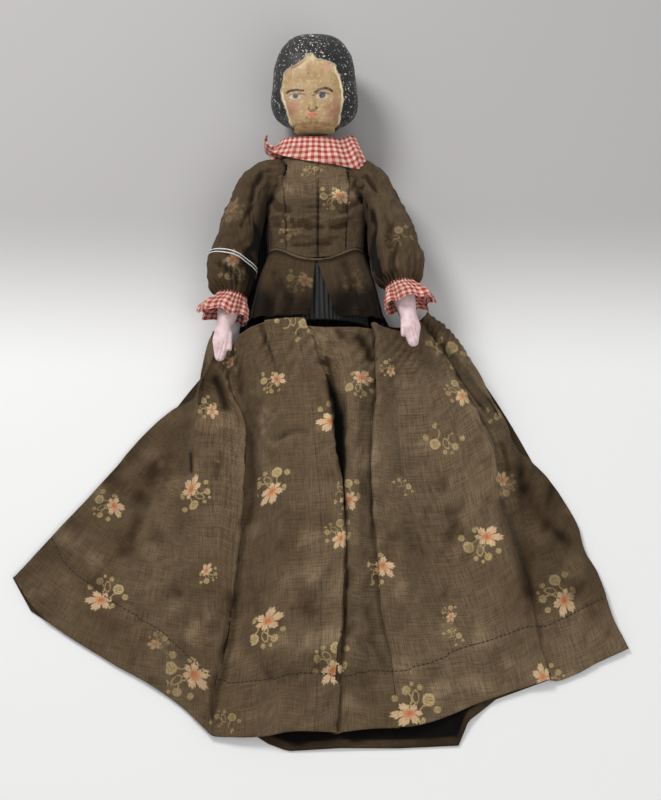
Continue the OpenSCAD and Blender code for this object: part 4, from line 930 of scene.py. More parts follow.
# Creases seen in the photograph: each is a line of its pixels, a height in mm and a width in pixels
CREASES = [
    ([(158, 446), (152, 478), (138, 525), (121, 566)], -1.5, 9),
    ([(176, 470), (165, 505), (142, 552), (128, 580)], 1.2, 10),
    ([(120, 500), (100, 530), (76, 556)], 0.9, 9),
    ([(174, 590), (196, 607), (212, 640)], -0.9, 6),
    ([(150, 600), (176, 628), (190, 655)], -0.7, 6),
    ([(223, 440), (213, 487), (208, 553)], -0.7, 4),
    ([(230, 452), (222, 500), (216, 560), (208, 610)], 0.8, 5),
    ([(267, 444), (280, 437), (297, 430), (318, 434)], -1.1, 4),
    ([(264, 450), (280, 446), (300, 438), (320, 441)], 0.8, 5),
    ([(274, 378), (277, 398), (277, 415)], -0.9, 3.5),
    ([(240, 569), (290, 573), (340, 569)], -0.35, 3),
    ([(246, 655), (266, 600), (268, 560)], 0.8, 8),
    ([(284, 470), (300, 520), (296, 575)], -0.6, 9),
    ([(310, 600), (318, 640), (312, 680)], -0.7, 9),
    ([(300, 690), (296, 720), (290, 736)], 0.6, 7),
    ([(397, 393), (400, 467), (423, 550), (437, 597), (477, 703)], -0.4, 1.6),
    ([(427, 373), (424, 403), (437, 420), (467, 427)], -0.9, 4),
    ([(467, 427), (477, 450), (487, 480), (495, 497)], 0.8, 5),
    ([(440, 470), (452, 520), (446, 560)], -0.8, 8),
    ([(404, 520), (416, 560), (420, 600)], -0.7, 8),
    ([(430, 610), (448, 650), (462, 690)], 0.6, 8),
    ([(392, 430), (398, 500), (404, 560)], 0.8, 7),
    ([(523, 480), (543, 520), (583, 553)], -1.0, 6),
    ([(530, 556), (552, 590), (560, 640)], 0.9, 9),
    ([(560, 500), (578, 540), (590, 590)], 0.7, 7),
    ([(452, 372), (466, 392), (484, 414)], -0.8, 3),
    ([(352, 560), (354, 610), (346, 660)], -0.8, 6),
]
crease = layered(skirt_u, skirt_v / 3, 8.0, 5, 4) * 0.7
crease = crease + layered(skirt_u * 0.8, skirt_v * 0.8, 30.0, 9, 4) * 1.6
crease += 0.55 * ridges(skirt_u + 0.4 * skirt_v, skirt_v / 1.6, 15.0, 13, 3.2)
gathers = np.sin(skirt_u * 2 * math.pi / 5.5 + 2 * cloud(skirt_u, skirt_v, 16.0, 3))
crease += 0.65 * gathers * smooth(1 - skirt_v / 48)
groove = hump(from_hem - HEM_BAND, 0.8)
crease = crease * np.minimum(smooth(skirt_v / 20) + 0.3, 1) + photo_creases(skirt, CREASES)
skirt = skirt + normals_of(skirt) * (crease - 0.45 * groove)[..., None]
skirt[..., 2] = np.maximum(skirt[..., 2], 2.2 - 0.5 * smooth(1 - from_hem / 2))

SKIRT_SPRIGS = [
    (96, 601, 0, 0.95, 0.05), (116, 507, 119, 0.82, 0.05), (190.7, 484, 247, 0.85, 0.05),
    (268, 496.7, 44, 0.92, 0), (271.7, 616.7, 196, 1.0, 0), (198, 678, 131, 1.15, 0.35),
    (214, 411.7, 100, 0.6, 0.15), (278, 379, 150, 0.62, 0.1), (303, 324, 0, 0.9, 1.1),
    (206, 569, 240, 0.5, 0.2), (230, 364, 60, 0.42, 0.35), (328, 423, 0, 0.95, 0),
    (331.7, 678, 50, 0.92, 0.05), (230.7, 718, 20, 0.7, 1.55), (367, 377, 185, 0.75, 0.1),
    (350, 503, 62, 0.8, 0.05), (340, 540, 60, 0.72, 0.15), (386, 566.7, 134, 0.85, 0),
    (403, 716.7, 3, 1.1, 0.1), (491.7, 536.7, 179, 1.0, 0), (568, 605, 81, 1.05, 0.05),
    (465, 400, 86, 0.72, 0.1), (503, 476.7, 254, 0.62, 0.15), (436.7, 445, 200, 0.95, 1.1),
    (393, 373, 90, 0.42, 0.2), (409, 488, 0, 0.5, 1.1), (451.7, 618, 60, 0.42, 0.15),
    (460, 637, 0, 0.5, 1.1), (538, 673, 284, 0.8, 0.15), (453, 348, 20, 1.1, 1.2),
    (499, 416.7, 250, 0.65, 1.15), (153, 645, 0, 0.5, 0.6),
]
skirt_sprigs = sprig_layer(skirt, SKIRT_SPRIGS)
# Deep in the gap and under the panels' edges the cloth gets painted shade, and so do its valleys
number_grid = np.broadcast_to(line_number, skirt.shape[:2])
in_gap = hump(number_grid - len(RIGHT_LINES) - 1.2, 1.5) * smooth((from_hem - 100) / 30)
in_gap *= smooth((skirt_v - 24) / 30)
valley = smooth(-crease / 2.0) * (0.75 + 0.5 * cloud(skirt_u, skirt_v, 6.0, 61))
# Painted shade along lines under edges, in hollows and in creases, and one tear painted as a dark slit.
# Each: a line of pixels, a width in pixels and how dark the place is
SHADE_AND_TEAR_PX = [
    ([(322, 348), (328, 372), (332, 396), (336, 420), (340, 450), (342, 474)], 4.5, 1.0),
    ([(356, 334), (365, 346), (371, 364)], 5, 0.78),
    ([(336, 330), (344, 338)], 5, 0.6),
    ([(214, 374), (222, 394), (227, 412)], 6, 0.85),
    # A tear, painted as a dark slit
    ([(190, 451), (191, 474)], 1.8, 0.8),
    ([(252, 436), (254, 480), (249, 535)], 4, 0.45),
    ([(233, 590), (224, 650), (215, 692)], 5, 0.45),
    ([(497, 494), (506, 520), (521, 570), (532, 604)], 8, 0.42),
    ([(500, 440), (509, 472)], 3.5, 0.35),
    ([(206, 360), (200, 392)], 4, 0.45),
    ([(455, 372), (470, 400), (488, 430)], 2.6, 0.35),
    ([(436, 343), (460, 380), (486, 414)], 2.2, 0.35),
    ([(232, 346), (238, 372), (242, 396)], 5, 0.5),
    ([(260, 322), (266, 346)], 3, 0.5),
    ([(344, 480), (347, 540), (345, 600), (342, 680)], 3, 0.5),
    ([(366, 600), (372, 640), (388, 672)], 6, 0.4),
    ([(372, 440), (371, 480), (374, 540)], 3, 0.4),
]
shade_and_tear = np.zeros(skirt.shape[:2])
for line, width, much in SHADE_AND_TEAR_PX:
    away, place = to_line(skirt_px, skirt_py, line)
    ends = smooth(place * 6 + 0.3) * smooth((1 - place) * 6 + 0.3)
    shade_and_tear = np.maximum(shade_and_tear, much * hump(away, width) * ends)
# The wings lie turned from the light
wing_tone = 0.42 * smooth((skirt_px - 505 - 0.1 * (skirt_py - 500)) / 18) * smooth((640 - skirt_py) / 60)
wing_tone += 0.14 * smooth((196 - skirt_px) / 14)
edge_dirt = smooth(1 - number_grid / 1.7) * 0.5 * (0.6 + 0.5 * cloud(skirt_u, skirt_v, 9.0, 51))
stains = smooth(layered(skirt_px, skirt_py, 30.0, 57, 4) * 2.0 - 0.5) * 0.28
skirt_shade = np.clip(1.3 * in_gap + 0.5 * valley + edge_dirt + stains + wing_tone + shade_and_tear, 0, 0.98)
# Folded edges are worn pale, partly as a painted highlight on their crests, and the hem is worn pale
bent = np.linalg.norm(np.gradient(np.gradient(skirt, axis=1), axis=1), axis=-1) / COLUMN_STEP**2
worn_and_highlit = smooth((bent - 0.25) / 0.5) * smooth(1 - in_gap * 4)
worn_and_highlit = worn_and_highlit * (0.5 + 0.5 * cloud(skirt_u, skirt_v, 5.0, 53))
rubbed_hem = smooth(1 - from_hem / 1.2) * 0.5 * (0.5 + cloud(skirt_u, skirt_v, 4.0, 55))
worn_and_highlit = np.maximum(worn_and_highlit, rubbed_hem)
skirt_shade = np.where(worn_and_highlit > skirt_shade, -0.45 * worn_and_highlit, skirt_shade)


def leg_share(points, side):
    """How far the cloth follows a raised thigh: wholly over the leg, not at all at its edges."""
    across = np.abs(points[..., 0])
    over = smooth(across / 4.2) * (1 - smooth((across - 18) / 62))
    over = np.where(points[..., 0] * side > 0, over, 0)
    return over * smooth((HIP_Y + 12 - points[..., 1]) / 34)


# The threads run straight down, as wide apart as near the hem
WEAVE_ROW = -30
for name, side, cut in (("right", -1, slice(0, split_column + 1)), ("left", 1, slice(split_column, None))):
    points, bodies = skirt[:, cut], ("torso", "thigh_" + name)
    share = leg_share(points, side)
    layers = {"sprig": skirt_sprigs[:, cut], "shade": skirt_shade[:, cut],
              "weave": weave_layer(skirt_u[WEAVE_ROW, cut], skirt_v[:, cut])}
    piece = cloth("skirt_front_" + name, points, [COTTON, LINING], (*bodies, share), layers)
    stands_for("skirt_front_" + name)
    row = np.argmin(np.abs(from_hem[:, cut] - HEM_BAND), 0)
    column = np.arange(points.shape[1])
    stitches("hem_stitch_" + name, points[row, column], normals_of(points)[row, column],
             share[row, column], bodies, DARK_THREAD)

# Head: carved and painted wood. Lines on the face are photo pixels, as it is plainly a doll's

# Each row: height from the chin, half width, front and back, as shares of the head's sizes
HEAD_SHARES = np.array([
    [0, 0.36, 0.86, 0.62], [0.03, 0.50, 0.94, 0.52], [0.07, 0.55, 0.96, 0.44], [0.11, 0.60, 0.97, 0.38],
    [0.17, 0.74, 0.975, 0.28], [0.22, 0.86, 0.98, 0.18], [0.28, 0.945, 0.98, 0.09],
    [0.35, 0.985, 0.98, 0.03], [0.44, 0.95, 0.985, 0], [0.55, 0.945, 0.99, 0], [0.66, 0.925, 0.98, 0.01],
    [0.77, 0.85, 0.94, 0.04], [0.88, 0.70, 0.84, 0.12], [0.935, 0.58, 0.76, 0.19], [0.98, 0.42, 0.65, 0.29],
    [1, 0.16, 0.56, 0.39],
])
HEAD_W, HEAD_ROUND = 46.0, 0.8
HEAD_ROWS, HEAD_COLS = 330, 460
LEAST_Z = 0.05
FACE_EDGE_PX = [
    (291, 127.5), (288, 119), (285, 109), (282, 99), (280, 90), (282, 82), (284.5, 71), (290, 66.5),
    (297, 63.5), (303, 58.5), (307, 53), (311, 52), (314, 56), (322, 59.5), (330, 61.5), (335, 64),
    (337.5, 71), (341.5, 80), (343, 89), (343.5, 99), (342, 109), (341, 119), (340, 127.5), (336, 141),
    (295, 141),
]


def inside(px, py, line):
    """Signed distance in pixels to a closed outline, above zero inside it."""
    odd = np.zeros(px.shape, bool)
    for (x0, y0), (x1, y1) in zip(line, line[1:] + line[:1]):
        if y0 != y1:
            odd ^= ((y0 > py) != (y1 > py)) & (px < x0 + (py - y0) / (y1 - y0) * (x1 - x0))
    d = to_line(px, py, line, True)[0]
    return np.where(odd, d, -d)


def oval(px, py, x, y, rx, ry):
    return np.hypot((px - x) / rx, (py - y) / ry)


def head_share(t, i):
    """Column i of the table at height t, with its corners rounded off."""
    return sum(weight * np.interp(t + step, HEAD_SHARES[:, 0], HEAD_SHARES[:, i])
               for step, weight in ((-0.02, 0.25), (0, 0.5), (0.02, 0.25)))


def head_base(t, q):
    half, f, b = HEAD_W / 2 * head_share(t, 1), HEAD_D * head_share(t, 2), HEAD_D * head_share(t, 3)
    x = half * spow(np.cos(q), HEAD_ROUND)
    z = (f + b) / 2 + (f - b) / 2 * spow(np.sin(q), HEAD_ROUND)
    return np.stack([HEAD_X - 0.1 + x, CHIN_Y + (HEAD_H - 1) * t, z], -1)


def from_face_edge():
    """Pixel places of the head's points, and their distance in pixels inside the face."""
    px, py = to_photo(head_grid)
    return px, py, inside(px, py, FACE_EDGE_PX) + 0.7 * cloud(px, py, 4.0, 2)


tt = (1 - np.cos(np.pi * np.linspace(0, 1, HEAD_ROWS))) / 2
tt, qq = np.meshgrid(tt, np.linspace(0, 2 * np.pi, HEAD_COLS, endpoint=False), indexing="ij")
head_grid, front = head_base(tt, qq), np.sin(qq)
hx, hy, edge_px = from_face_edge()
on_face = smooth(edge_px / 1.6 + 0.5) * smooth(front * 2.5)
# The hair is carved in shallow cuts that run from the parting to the nape
parting = np.abs(head_grid[..., 0] - HEAD_X) * 0.22 + 0.9 * cloud(tt * HEAD_H, qq * 22, 16.0, 4)
cuts = np.sin(2 * np.pi * (parting - 0.02 * head_grid[..., 1]))
comb = layered(qq * HEAD_W, tt * 20, 3.0, 6, 3)
hair_relief = 0.07 * cuts * smooth(tt * 4) + 0.12 * comb + 0.4 * cloud(qq * 22, tt * HEAD_H, 14.0, 8) + 0.1
nose = smooth(1 - np.abs(hx - 312.5) / mix(3.0, 6.5, np.clip((hy - 93) / 15, 0, 1)))
nose = nose * smooth((hy - 92) / 10) * smooth((110.5 - hy) / 2.5)
socket = np.exp(-oval(hx, hy, 297, 97, 9, 6) ** 2) + np.exp(-oval(hx, hy, 322, 96, 9, 6) ** 2)
lips = np.exp(-oval(hx, hy, 312.4, 115.5, 6, 2.6) ** 2)
facet = smooth((hy - 60) / 14) * smooth((np.abs(hx - 312) - 17) / 9)
face_relief = 1.35 * nose - 0.45 * socket + 0.35 * lips - 0.5 * facet + 0.12 * layered(hx, hy, 7.0, 12, 3)
outward = np.stack([np.cos(qq) * 0.7, 0 * qq, np.sin(qq)], -1)
outward /= np.linalg.norm(outward, axis=-1, keepdims=True)
head_grid += outward * (hair_relief * (1 - on_face) * smooth(np.abs(tt - 0.5) * -8 + 4))[..., None]
head_grid[..., 2] += (-HAIR_T + face_relief) * on_face
head_grid[..., 2] = np.maximum(head_grid[..., 2], LEAST_Z)
hx, hy, edge_px = from_face_edge()
hair_share = 1 - smooth(edge_px / 0.9 + 0.5) * smooth(front * 6 + 0.4 + (tt < 0.012) * 9)


def colour_of(*rgb):
    return np.array(linear(*rgb)[:3])


def brush(paint, share, rgb):
    share = np.clip(share, 0, 1)[..., None]
    return paint * (1 - share) + colour_of(*rgb) * share


def dab(paint, away, rgb, sharp, grow, strength=1.0):
    """A spot of paint where away is under 1."""
    return brush(paint, smooth((1 - away) * sharp + grow) * strength, rgb)


def stroke(paint, line, width, rgb, strength=1.0, taper=0.5):
    """A brush stroke along a line of pixels, thinner to its ends."""
    d, place = to_line(hx, hy, line)
    thin = width * (1 - taper * np.abs(2 * place - 1) ** 2)
    return brush(paint, smooth((thin - d) / 0.6 + 0.5) * strength, rgb)


tone = layered(hx, hy, 9.0, 21, 4)
paint = np.ones(head_grid.shape) * colour_of(186, 156, 116)
paint = brush(paint, 0.5 + 1.2 * tone, (170, 138, 97))
paint = brush(paint, smooth((72 - hy) / 18 + 0.4 * tone) * 0.85, (207, 180, 134))
paint = brush(paint, smooth((layered(hx, hy, 2.2, 33, 3) - 0.32) / 0.2) * 0.45, (222, 200, 158))
# Cheeks and stains: an oval in pixels, how sharply it ends, how strong it is and its colour
for *place, power, share, rgb in (
    (291.5, 107.5, 7.5, 9, 2.4, 0.85, (168, 116, 92)),
    (334, 112, 9, 11, 2.4, 0.85, (172, 120, 96)),
    (327, 67, 4.5, 6, 3, 0.6, (216, 160, 132)),
    (308.5, 69, 2.6, 7, 2, 0.5, (140, 116, 82)),
):
    paint = brush(paint, np.exp(-oval(hx, hy, *place) ** power) * share, rgb)
rim = smooth(1 - np.abs(edge_px - 0.9) / 2.0 + 0.6 * tone) * (hy < 126)
paint = brush(paint, rim, (240, 226, 200))
chalk = smooth((layered(hx, hy, 5.0, 27, 4) - 0.05) / 0.25)
chalk = chalk * smooth((9 - edge_px) / 6) * smooth((84 - hy) / 14)
paint = brush(paint, chalk * 0.7, (226, 206, 172))
# Painted shade on the chin's underside, and the neck's front
paint = brush(paint, smooth((hy - 124.6) / 1.2) * 0.9, (152, 120, 82))
paint = brush(paint, smooth((hy - 136.5) / 1.5) * 0.9, (178, 148, 104))

paint = stroke(paint, [(288, 96.5), (292.5, 94.4), (299, 93.4), (305.5, 94.6)], 1.0, (120, 86, 62), 0.85)
paint = stroke(paint, [(313.4, 95.2), (318, 92.8), (324, 92.3), (329.5, 94)], 1.0, (112, 84, 62), 0.85)
for eye in ((294.6, 97.0, 6.2, 2.5), (322.3, 96.2, 6.4, 3.0)):
    paint = dab(paint, oval(hx, hy, *eye), (196, 186, 160), 3, 0.3)
for x, y, r in ((295.5, 96.0, 2.9), (322.2, 95.2, 3.4)):
    paint = dab(paint, oval(hx, hy, x, y, r, r), (60, 64, 96), 3, 0.4)
    paint = dab(paint, oval(hx, hy, x - 0.5, y - 0.3, r * 0.6, r * 0.6), (26, 28, 52), 2, 0)
LID_BLACK = (14, 9, 12)
# Lids, the left eye's corner and painted shade beside and under the nose: a line of pixels, its width,
# colour, strength and taper
for line in (
    ([(286.6, 93.0), (290, 90.8), (296.5, 90.0), (303.4, 90.5)], 1.4, LID_BLACK, 1.0, 0.35),
    ([(314.9, 92.3), (319.6, 89.1), (325.6, 87.9), (329.4, 88.9), (332.1, 91.2)], 1.4, LID_BLACK, 1.0, 0.35),
    ([(313, 94.6), (313.8, 95.8)], 0.8, (60, 44, 34), 0.9, 0.2),
    ([(309.4, 105), (309, 109.6), (312, 111.2), (315.5, 109.8)], 1.2, (140, 110, 70), 0.6, 0.2),
):
    paint = stroke(paint, *line)
# Nostrils and chips
for x, y, r in (
    (308.4, 108.2, 1.2), (316.6, 107.8, 1.4), (310.6, 111.2, 0.9), (306.7, 117.2, 0.9), (308.4, 73.5, 1.0)
):
    paint = dab(paint, oval(hx, hy, x, y, r, r), (84, 58, 36), 2, 0.3, 0.85)
MOUTH = ((310.6, 114.4, 3.6, 1.7), (314.4, 114.4, 3.6, 1.7), (312.5, 116.4, 2.6, 1.9))
mouth = np.min([oval(hx, hy, *part) for part in MOUTH], 0)
paint = dab(paint, mouth, (200, 104, 80), 3, 0.4, 0.92)
paint = stroke(paint, [(308.5, 114.8), (312.5, 115.6), (316.5, 114.6)], 0.4, (160, 66, 54), 0.7)

hair_paint = np.ones(paint.shape) * colour_of(14, 15, 17)
hair_paint = brush(hair_paint, 0.4 + layered(qq * 22, tt * HEAD_H, 5.0, 17, 4), (27, 28, 31))
hair_paint = brush(hair_paint, smooth((tt - 0.84) / 0.14) * 0.7, (66, 68, 68))
across, up = np.abs(head_grid[..., 0]), head_grid[..., 1]
scratch = layered(across * 1.6 - up * 0.4, up * 0.25, 1.4, 41, 3)
scratch = smooth((scratch - 0.42) / 0.12) * smooth(tone * 2 + 0.3) * 0.5
hair_paint = brush(hair_paint, scratch, (150, 150, 148))
paint = 0.84 * paint * (1 - hair_share[..., None]) + hair_paint * hair_share[..., None]

corner = (np.arange(HEAD_ROWS - 1)[:, None] * HEAD_COLS + np.arange(HEAD_COLS)[None]).ravel()
beside = np.where(corner % HEAD_COLS == HEAD_COLS - 1, corner + 1 - HEAD_COLS, corner + 1)
head_faces = np.stack([corner, corner + HEAD_COLS, beside + HEAD_COLS, beside], 1).tolist()
crown = (HEAD_ROWS - 1) * HEAD_COLS
head_faces += [list(range(HEAD_COLS)), list(range(crown, crown + HEAD_COLS))[::-1]]
stored = np.concatenate([paint, hair_share[..., None]], -1).reshape(-1, 4)
head = make("head", head_grid.reshape(-1, 3), head_faces, HEAD, {"paint": stored})
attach(head, "torso")
stands_for("head_and_torso")

# Torso and neck: the CAD wood below the chin

NECK_TOP, NECK_PAINT_Y = 126.6, 112
HAND_VOXEL, TORSO_VOXEL = 0.3, 0.5


def carved(node, name, body, materials, voxel, top=None, groove=None):
    """A copy of a CAD node with its edges worn soft, cut off at top if given. groove moves its points."""
    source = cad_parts[node]
    obj = bpy.data.objects.new(name, source.data.copy())
    scene.collection.objects.link(obj)
    obj.matrix_world = source.matrix_world
    obj.data.materials.clear()
    for m in materials:
        obj.data.materials.append(m)
    if top is not None:
        bm = bmesh.new()
        bm.from_mesh(obj.data)
        bmesh.ops.bisect_plane(bm, geom=bm.verts[:] + bm.edges[:] + bm.faces[:], plane_co=(0, top * MM, 0),
                               plane_no=(0, 1, 0), clear_outer=True)
        bmesh.ops.holes_fill(bm, edges=[e for e in bm.edges if e.is_boundary])
        bm.to_mesh(obj.data)
        bm.free()
    remesh = obj.modifiers.new("remesh", "REMESH")
    remesh.mode = "VOXEL"
    remesh.voxel_size = voxel * MM
    worn = obj.modifiers.new("worn", "SMOOTH")
    worn.factor = 0.5
    worn.iterations = 4
    baked = bpy.data.meshes.new_from_object(obj.evaluated_get(bpy.context.evaluated_depsgraph_get()))
    obj.modifiers.clear()
    obj.data = baked
    if groove is not None:
        points = np.empty(len(baked.vertices) * 3)
        baked.vertices.foreach_get("co", points)
        baked.vertices.foreach_set("co", (groove(points.reshape(-1, 3) / MM) * MM).ravel())
    baked.shade_smooth()
    baked.update()
    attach(obj, body)
    return obj


torso = carved("head_and_torso", "torso_wood", "torso", [WOOD, NECK], TORSO_VOXEL, NECK_TOP)
stands_for("head_and_torso")
centre_y = np.array([p.center.y for p in torso.data.polygons]) / MM
torso.data.polygons.foreach_set("material_index", (centre_y > NECK_PAINT_Y).astype(np.int32))

# Hands: the fingers are cut as grooves in the mitten shape


def cut_fingers(side, points):
    local = arm_local(side, points)
    down, x = -local[:, 1] - UPPER_ARM_L, local[:, 0] * side
    cut = sum(hump(x - at - 0.05 * (down - 44), 0.42) for at in (-2.3, -0.5, 1.3))
    cut = cut * smooth((down - 42) / 4) * (0.55 + 0.45 * cloud(x, down, 3.0, 7))
    depth = 0.55 * cut * np.sign(local[:, 2])
    local[:, 2] -= depth * smooth(np.abs(local[:, 2]))
    local[:, 2] += 0.35 * layered(x, down, 5.0, 31 + side, 3)
    return arm_place(side, *local.T)


for name, side in (("right", -1), ("left", 1)):
    arm = "forearm_" + name
    hand = carved(arm, "hand_" + name, arm, [HAND], HAND_VOXEL, groove=functools.partial(cut_fingers, side))
    stands_for(arm)

# CAD nodes that stay get their paint or wood
BARE_NODES = ("upper_arm", "thigh", "shoulder_peg", "hip_peg", "elbow_peg", "knee_peg")
for starts, material in ((BARE_NODES, WOOD), ("lower_leg", LEG)):
    for node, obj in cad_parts.items():
        if node.startswith(starts):
            obj.data.materials.clear()
            obj.data.materials.append(material)

# Bodice

BODICE_OFF = CLOTH_T + CLOTH_GAP
BODICE_ROWS, FRONT_COLS, BACK_COLS = 190, 170, 240
# The cloth's length round the body for each degree, as the noise needs it
MM_TO_A_DEGREE = 0.42
ARMHOLE_CUT_R, ARMHOLE_SHADE_R, ARMHOLE_X = 12.6, 13.5, 15
SIDE_SEAMS_Q = (54, 126)
BODICE_SPRIGS = [
    (315, 170, 30, 0.5, 1.25), (344, 197, 149, 0.74, 0.0), (284, 225, 250, 0.6, 0.3),
    (308, 280, 134, 0.7, 0.1), (353, 290, 0, 0.8, 0.5),
]
# Creases of the bodice and peplum seen in the photograph
BODICE_CREASES = [
    ([(268, 219), (284, 215), (300, 221), (316, 217), (334, 221), (352, 216)], 1.1, 3.2),
    ([(272, 226), (292, 224), (312, 228), (336, 227), (350, 222)], -0.9, 3),
    ([(284, 238), (304, 236), (322, 239), (340, 235)], 0.7, 2.6),
    ([(290, 246), (312, 245), (334, 244)], -0.6, 2.2),
    ([(276, 172), (290, 190), (300, 204)], 0.8, 4),
    ([(286, 160), (303, 180), (314, 192)], -0.7, 4),
    ([(356, 174), (346, 188), (330, 206)], 0.8, 4),
    ([(264, 190), (276, 206), (292, 214)], -0.7, 4),
    ([(366, 196), (354, 206), (338, 213)], -0.7, 4),
    ([(322, 205), (328, 224), (326, 244)], 0.5, 3),
    ([(300, 200), (303, 224), (302, 246)], 0.5, 3),
    ([(270, 268), (282, 284), (290, 304)], -0.9, 5),
    ([(284, 262), (300, 284), (304, 306)], 0.8, 5),
    ([(330, 262), (338, 286), (336, 314)], 0.9, 5),
    ([(342, 258), (352, 282), (350, 316)], -1.0, 4),
    ([(352, 256), (364, 280), (366, 312)], 0.8, 5),
    ([(258, 262), (262, 284), (270, 306)], 0.7, 5),
]


def dress_piece(node, grid, shade, held, seed, keep=None):
    """A cotton piece of the upper dress. The print is the photograph's, or a random one at the back."""
    if node.endswith("back"):
        sprigs = sprig_scatter(*cloth_uv(grid), seed)
    else:
        sprigs = sprig_layer(grid, BODICE_SPRIGS)
    layers = {"sprig": sprigs, "shade": shade}
    piece = cloth(node, grid, [COTTON, LINING], "torso", layers, keep=keep, turn=True)
    stands_for(node)


def seam_y(q):
    return WAIST_Y - WAIST_DIP * np.maximum(0, np.sin(np.radians(q))) ** 4


def bodice_grid(q0, q1, cols):
    """Grid of a bodice piece between two angles, and the painted shade on it."""
    q = np.broadcast_to(np.linspace(q0, q1, cols), (BODICE_ROWS, cols))
    y = mix(NECKLINE_Y, seam_y(q) + 0.9, np.linspace(0, 1, BODICE_ROWS)[:, None])
    front = smooth(np.sin(np.radians(q)) * 2 + 0.2)
    creases = 1.9 * photo_creases(body_point(y, q, BODICE_OFF), BODICE_CREASES) * front
    seams = sum(hump(q - at, 1.1) for at in SIDE_SEAMS_Q)
    centre = hump(q - 91.0, 1.0) - 1.3 * hump(q - 88.8, 0.8)
    puckers = 0.3 * np.sin(y * 1.9 + 2 * cloud(q, y, 20.0, 5)) * (hump(q - 90, 6) + seams)
    around = q * MM_TO_A_DEGREE
    noise = 0.7 * layered(around, y / 1.3, 11.0, 15, 4) + 0.45 * ridges(around + y * 0.3, y * 1.3, 12.0, 17)
    rise = creases - 0.45 * seams + 0.35 * centre + puckers + noise * (0.35 + 0.65 * front)
    rise = np.maximum(rise, -0.6)
    # Painted shade in the creases' valleys, along the side seams and the centre seam, and under the arms
    dirt_and_painted_shade = 0.32 * smooth(-rise / 0.9) + 0.25 * seams + 0.35 * np.maximum(0, -centre)
    under_arm = 0.3 * smooth((np.abs(q - 90) - 62) / 20) * front * smooth((108 - y) / 16)
    # Painted light and shade: lighter towards the neck, darker towards the waist
    dirt_and_painted_shade += 0.57 * smooth((98 - y) / 16) - 0.12 + under_arm
    return body_point(y, q, BODICE_OFF + 0.45 + rise * smooth((y - WAIST_Y + 12) / 6)), dirt_and_painted_shade


for node, q0, q1, cols in (
    ("bodice_front_right", 90, 180, FRONT_COLS),
    ("bodice_front_left", 0, 90, FRONT_COLS),
    ("bodice_back", 180, 360, BACK_COLS),
):
    grid, dirt_and_painted_shade = bodice_grid(q0, q1, cols)
    beside = np.abs(grid[..., 0]) > ARMHOLE_X
    from_hole = np.hypot(grid[..., 1] - SHOULDER_Y + ARMHOLE_DROP, grid[..., 2] - TORSO_Z)
    # Painted shade round the armhole
    shade = np.clip(dirt_and_painted_shade + 0.55 * hump(from_hole - ARMHOLE_SHADE_R, 1.8) * beside, -0.3, 0.95)
    dress_piece(node, grid, shade, "stretched", 5, (from_hole > ARMHOLE_CUT_R) | ~beside)

PIPING_POINTS, PIPING_SIDES = 240, 10
q = np.linspace(0, 360, PIPING_POINTS, endpoint=False)
piping_path = body_point(seam_y(q), q, 1.15 + 0.12 * np.sin(q * 1.7))
points, faces = tube(piping_path, 0.8 + 0.06 * np.sin(q * 0.9), PIPING_SIDES, closed=True)
u = np.repeat(np.arange(PIPING_POINTS) * 0.6, PIPING_SIDES)
v = np.tile(np.arange(PIPING_SIDES) * 0.5, PIPING_POINTS)
piece = make("waist_piping_cord", points, faces, COTTON, {
    "weave": weave_layer(u, v), "sprig": np.tile(NO_SPRIG, (len(u), 1)), "shade": np.full(len(u), 0.3)})
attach(piece, "torso")
stands_for("waist_piping")

# Peplum

PEPLUM_ROWS = 120
YOKE_OFF = 2.3 * CLOTH_T + 2 * CLOTH_GAP
HIPS_W = 47
SPLIT_Q = math.degrees(math.asin((SPLIT_W / (HIPS_W + 2 * PEPLUM_FLARE)) ** (1 / BODY_ROUND)))


def peplum_grid(top, bottom, cols):
    """Grid of a peplum piece and its painted shade. top and bottom are its angles at the seam and at the
    hem.
    """
    v = np.linspace(0, 1, PEPLUM_ROWS)[:, None]
    q = mix(np.linspace(*top, cols), np.linspace(*bottom, cols), v)
    s = np.sin(np.radians(q))
    y = mix(seam_y(q) - 1.0, WAIST_Y - PEPLUM_L + (WAIST_DIP - WAIST_DIP * np.maximum(0, s)) * 0.4, v)
    wave = 0.5 + 0.5 * np.cos(np.radians(q) * 10)
    flare = PEPLUM_FLARE * v * smooth(0.6 + s) + 0.25 * PEPLUM_FLARE * v * wave
    grow = mix(BODICE_OFF + CLOTH_GAP, YOKE_OFF + CLOTH_GAP, smooth(v * 2)) + CLOTH_T
    fine = 0.8 * v * layered(q * MM_TO_A_DEGREE, y / 3, 12.0, 25, 3) + 0.18 * np.sin(q * 2.4) * (1 - v) ** 3
    p = body_point(y, q, grow + fine - 0.25 * hump(v - 0.93, 0.012), flare)
    p[..., 2] += np.where(s > 0, 0.35 * PEPLUM_FLARE * v * s, 0)
    creases = 2.0 * photo_creases(p, BODICE_CREASES) * smooth(s * 3)
    folds = 1.1 * v * np.sin(0.33 * q + 1.6 * cloud(q * 0.4, y, 14.0, 69)) * smooth(s * 3)
    p[..., 2] += creases + folds
    # Painted shade in the folds' valleys, under the waist seam and over the whole peplum, more towards its
    # hem and its sides
    deep = smooth(-(creases + folds + fine) / 1.8) * (0.7 + 0.5 * cloud(q * 0.4, y, 5.0, 67))
    low = 0.5 * smooth((v - 0.35) / 0.6) + 0.3 * smooth((np.abs(q - 90) - 50) / 30) * smooth(s * 3)
    low = low * (0.7 + 0.4 * cloud(q * 0.4, y, 9.0, 65))
    return p, np.clip(0.26 * deep + 0.25 * smooth(1 - v * 12) + 0.58 + low, 0, 0.9)


for node, top, bottom, cols in (
    ("peplum_front_right", (90.4, 180), (85 + SPLIT_Q, 180), FRONT_COLS),
    ("peplum_front_left", (0, 89.4), (0, 85 - SPLIT_Q), FRONT_COLS),
    ("peplum_back", (180, 360), (180, 360), BACK_COLS),
):
    dress_piece(node, *peplum_grid(top, bottom, cols), "hung", 9)

# Black silk, pleated round the hips

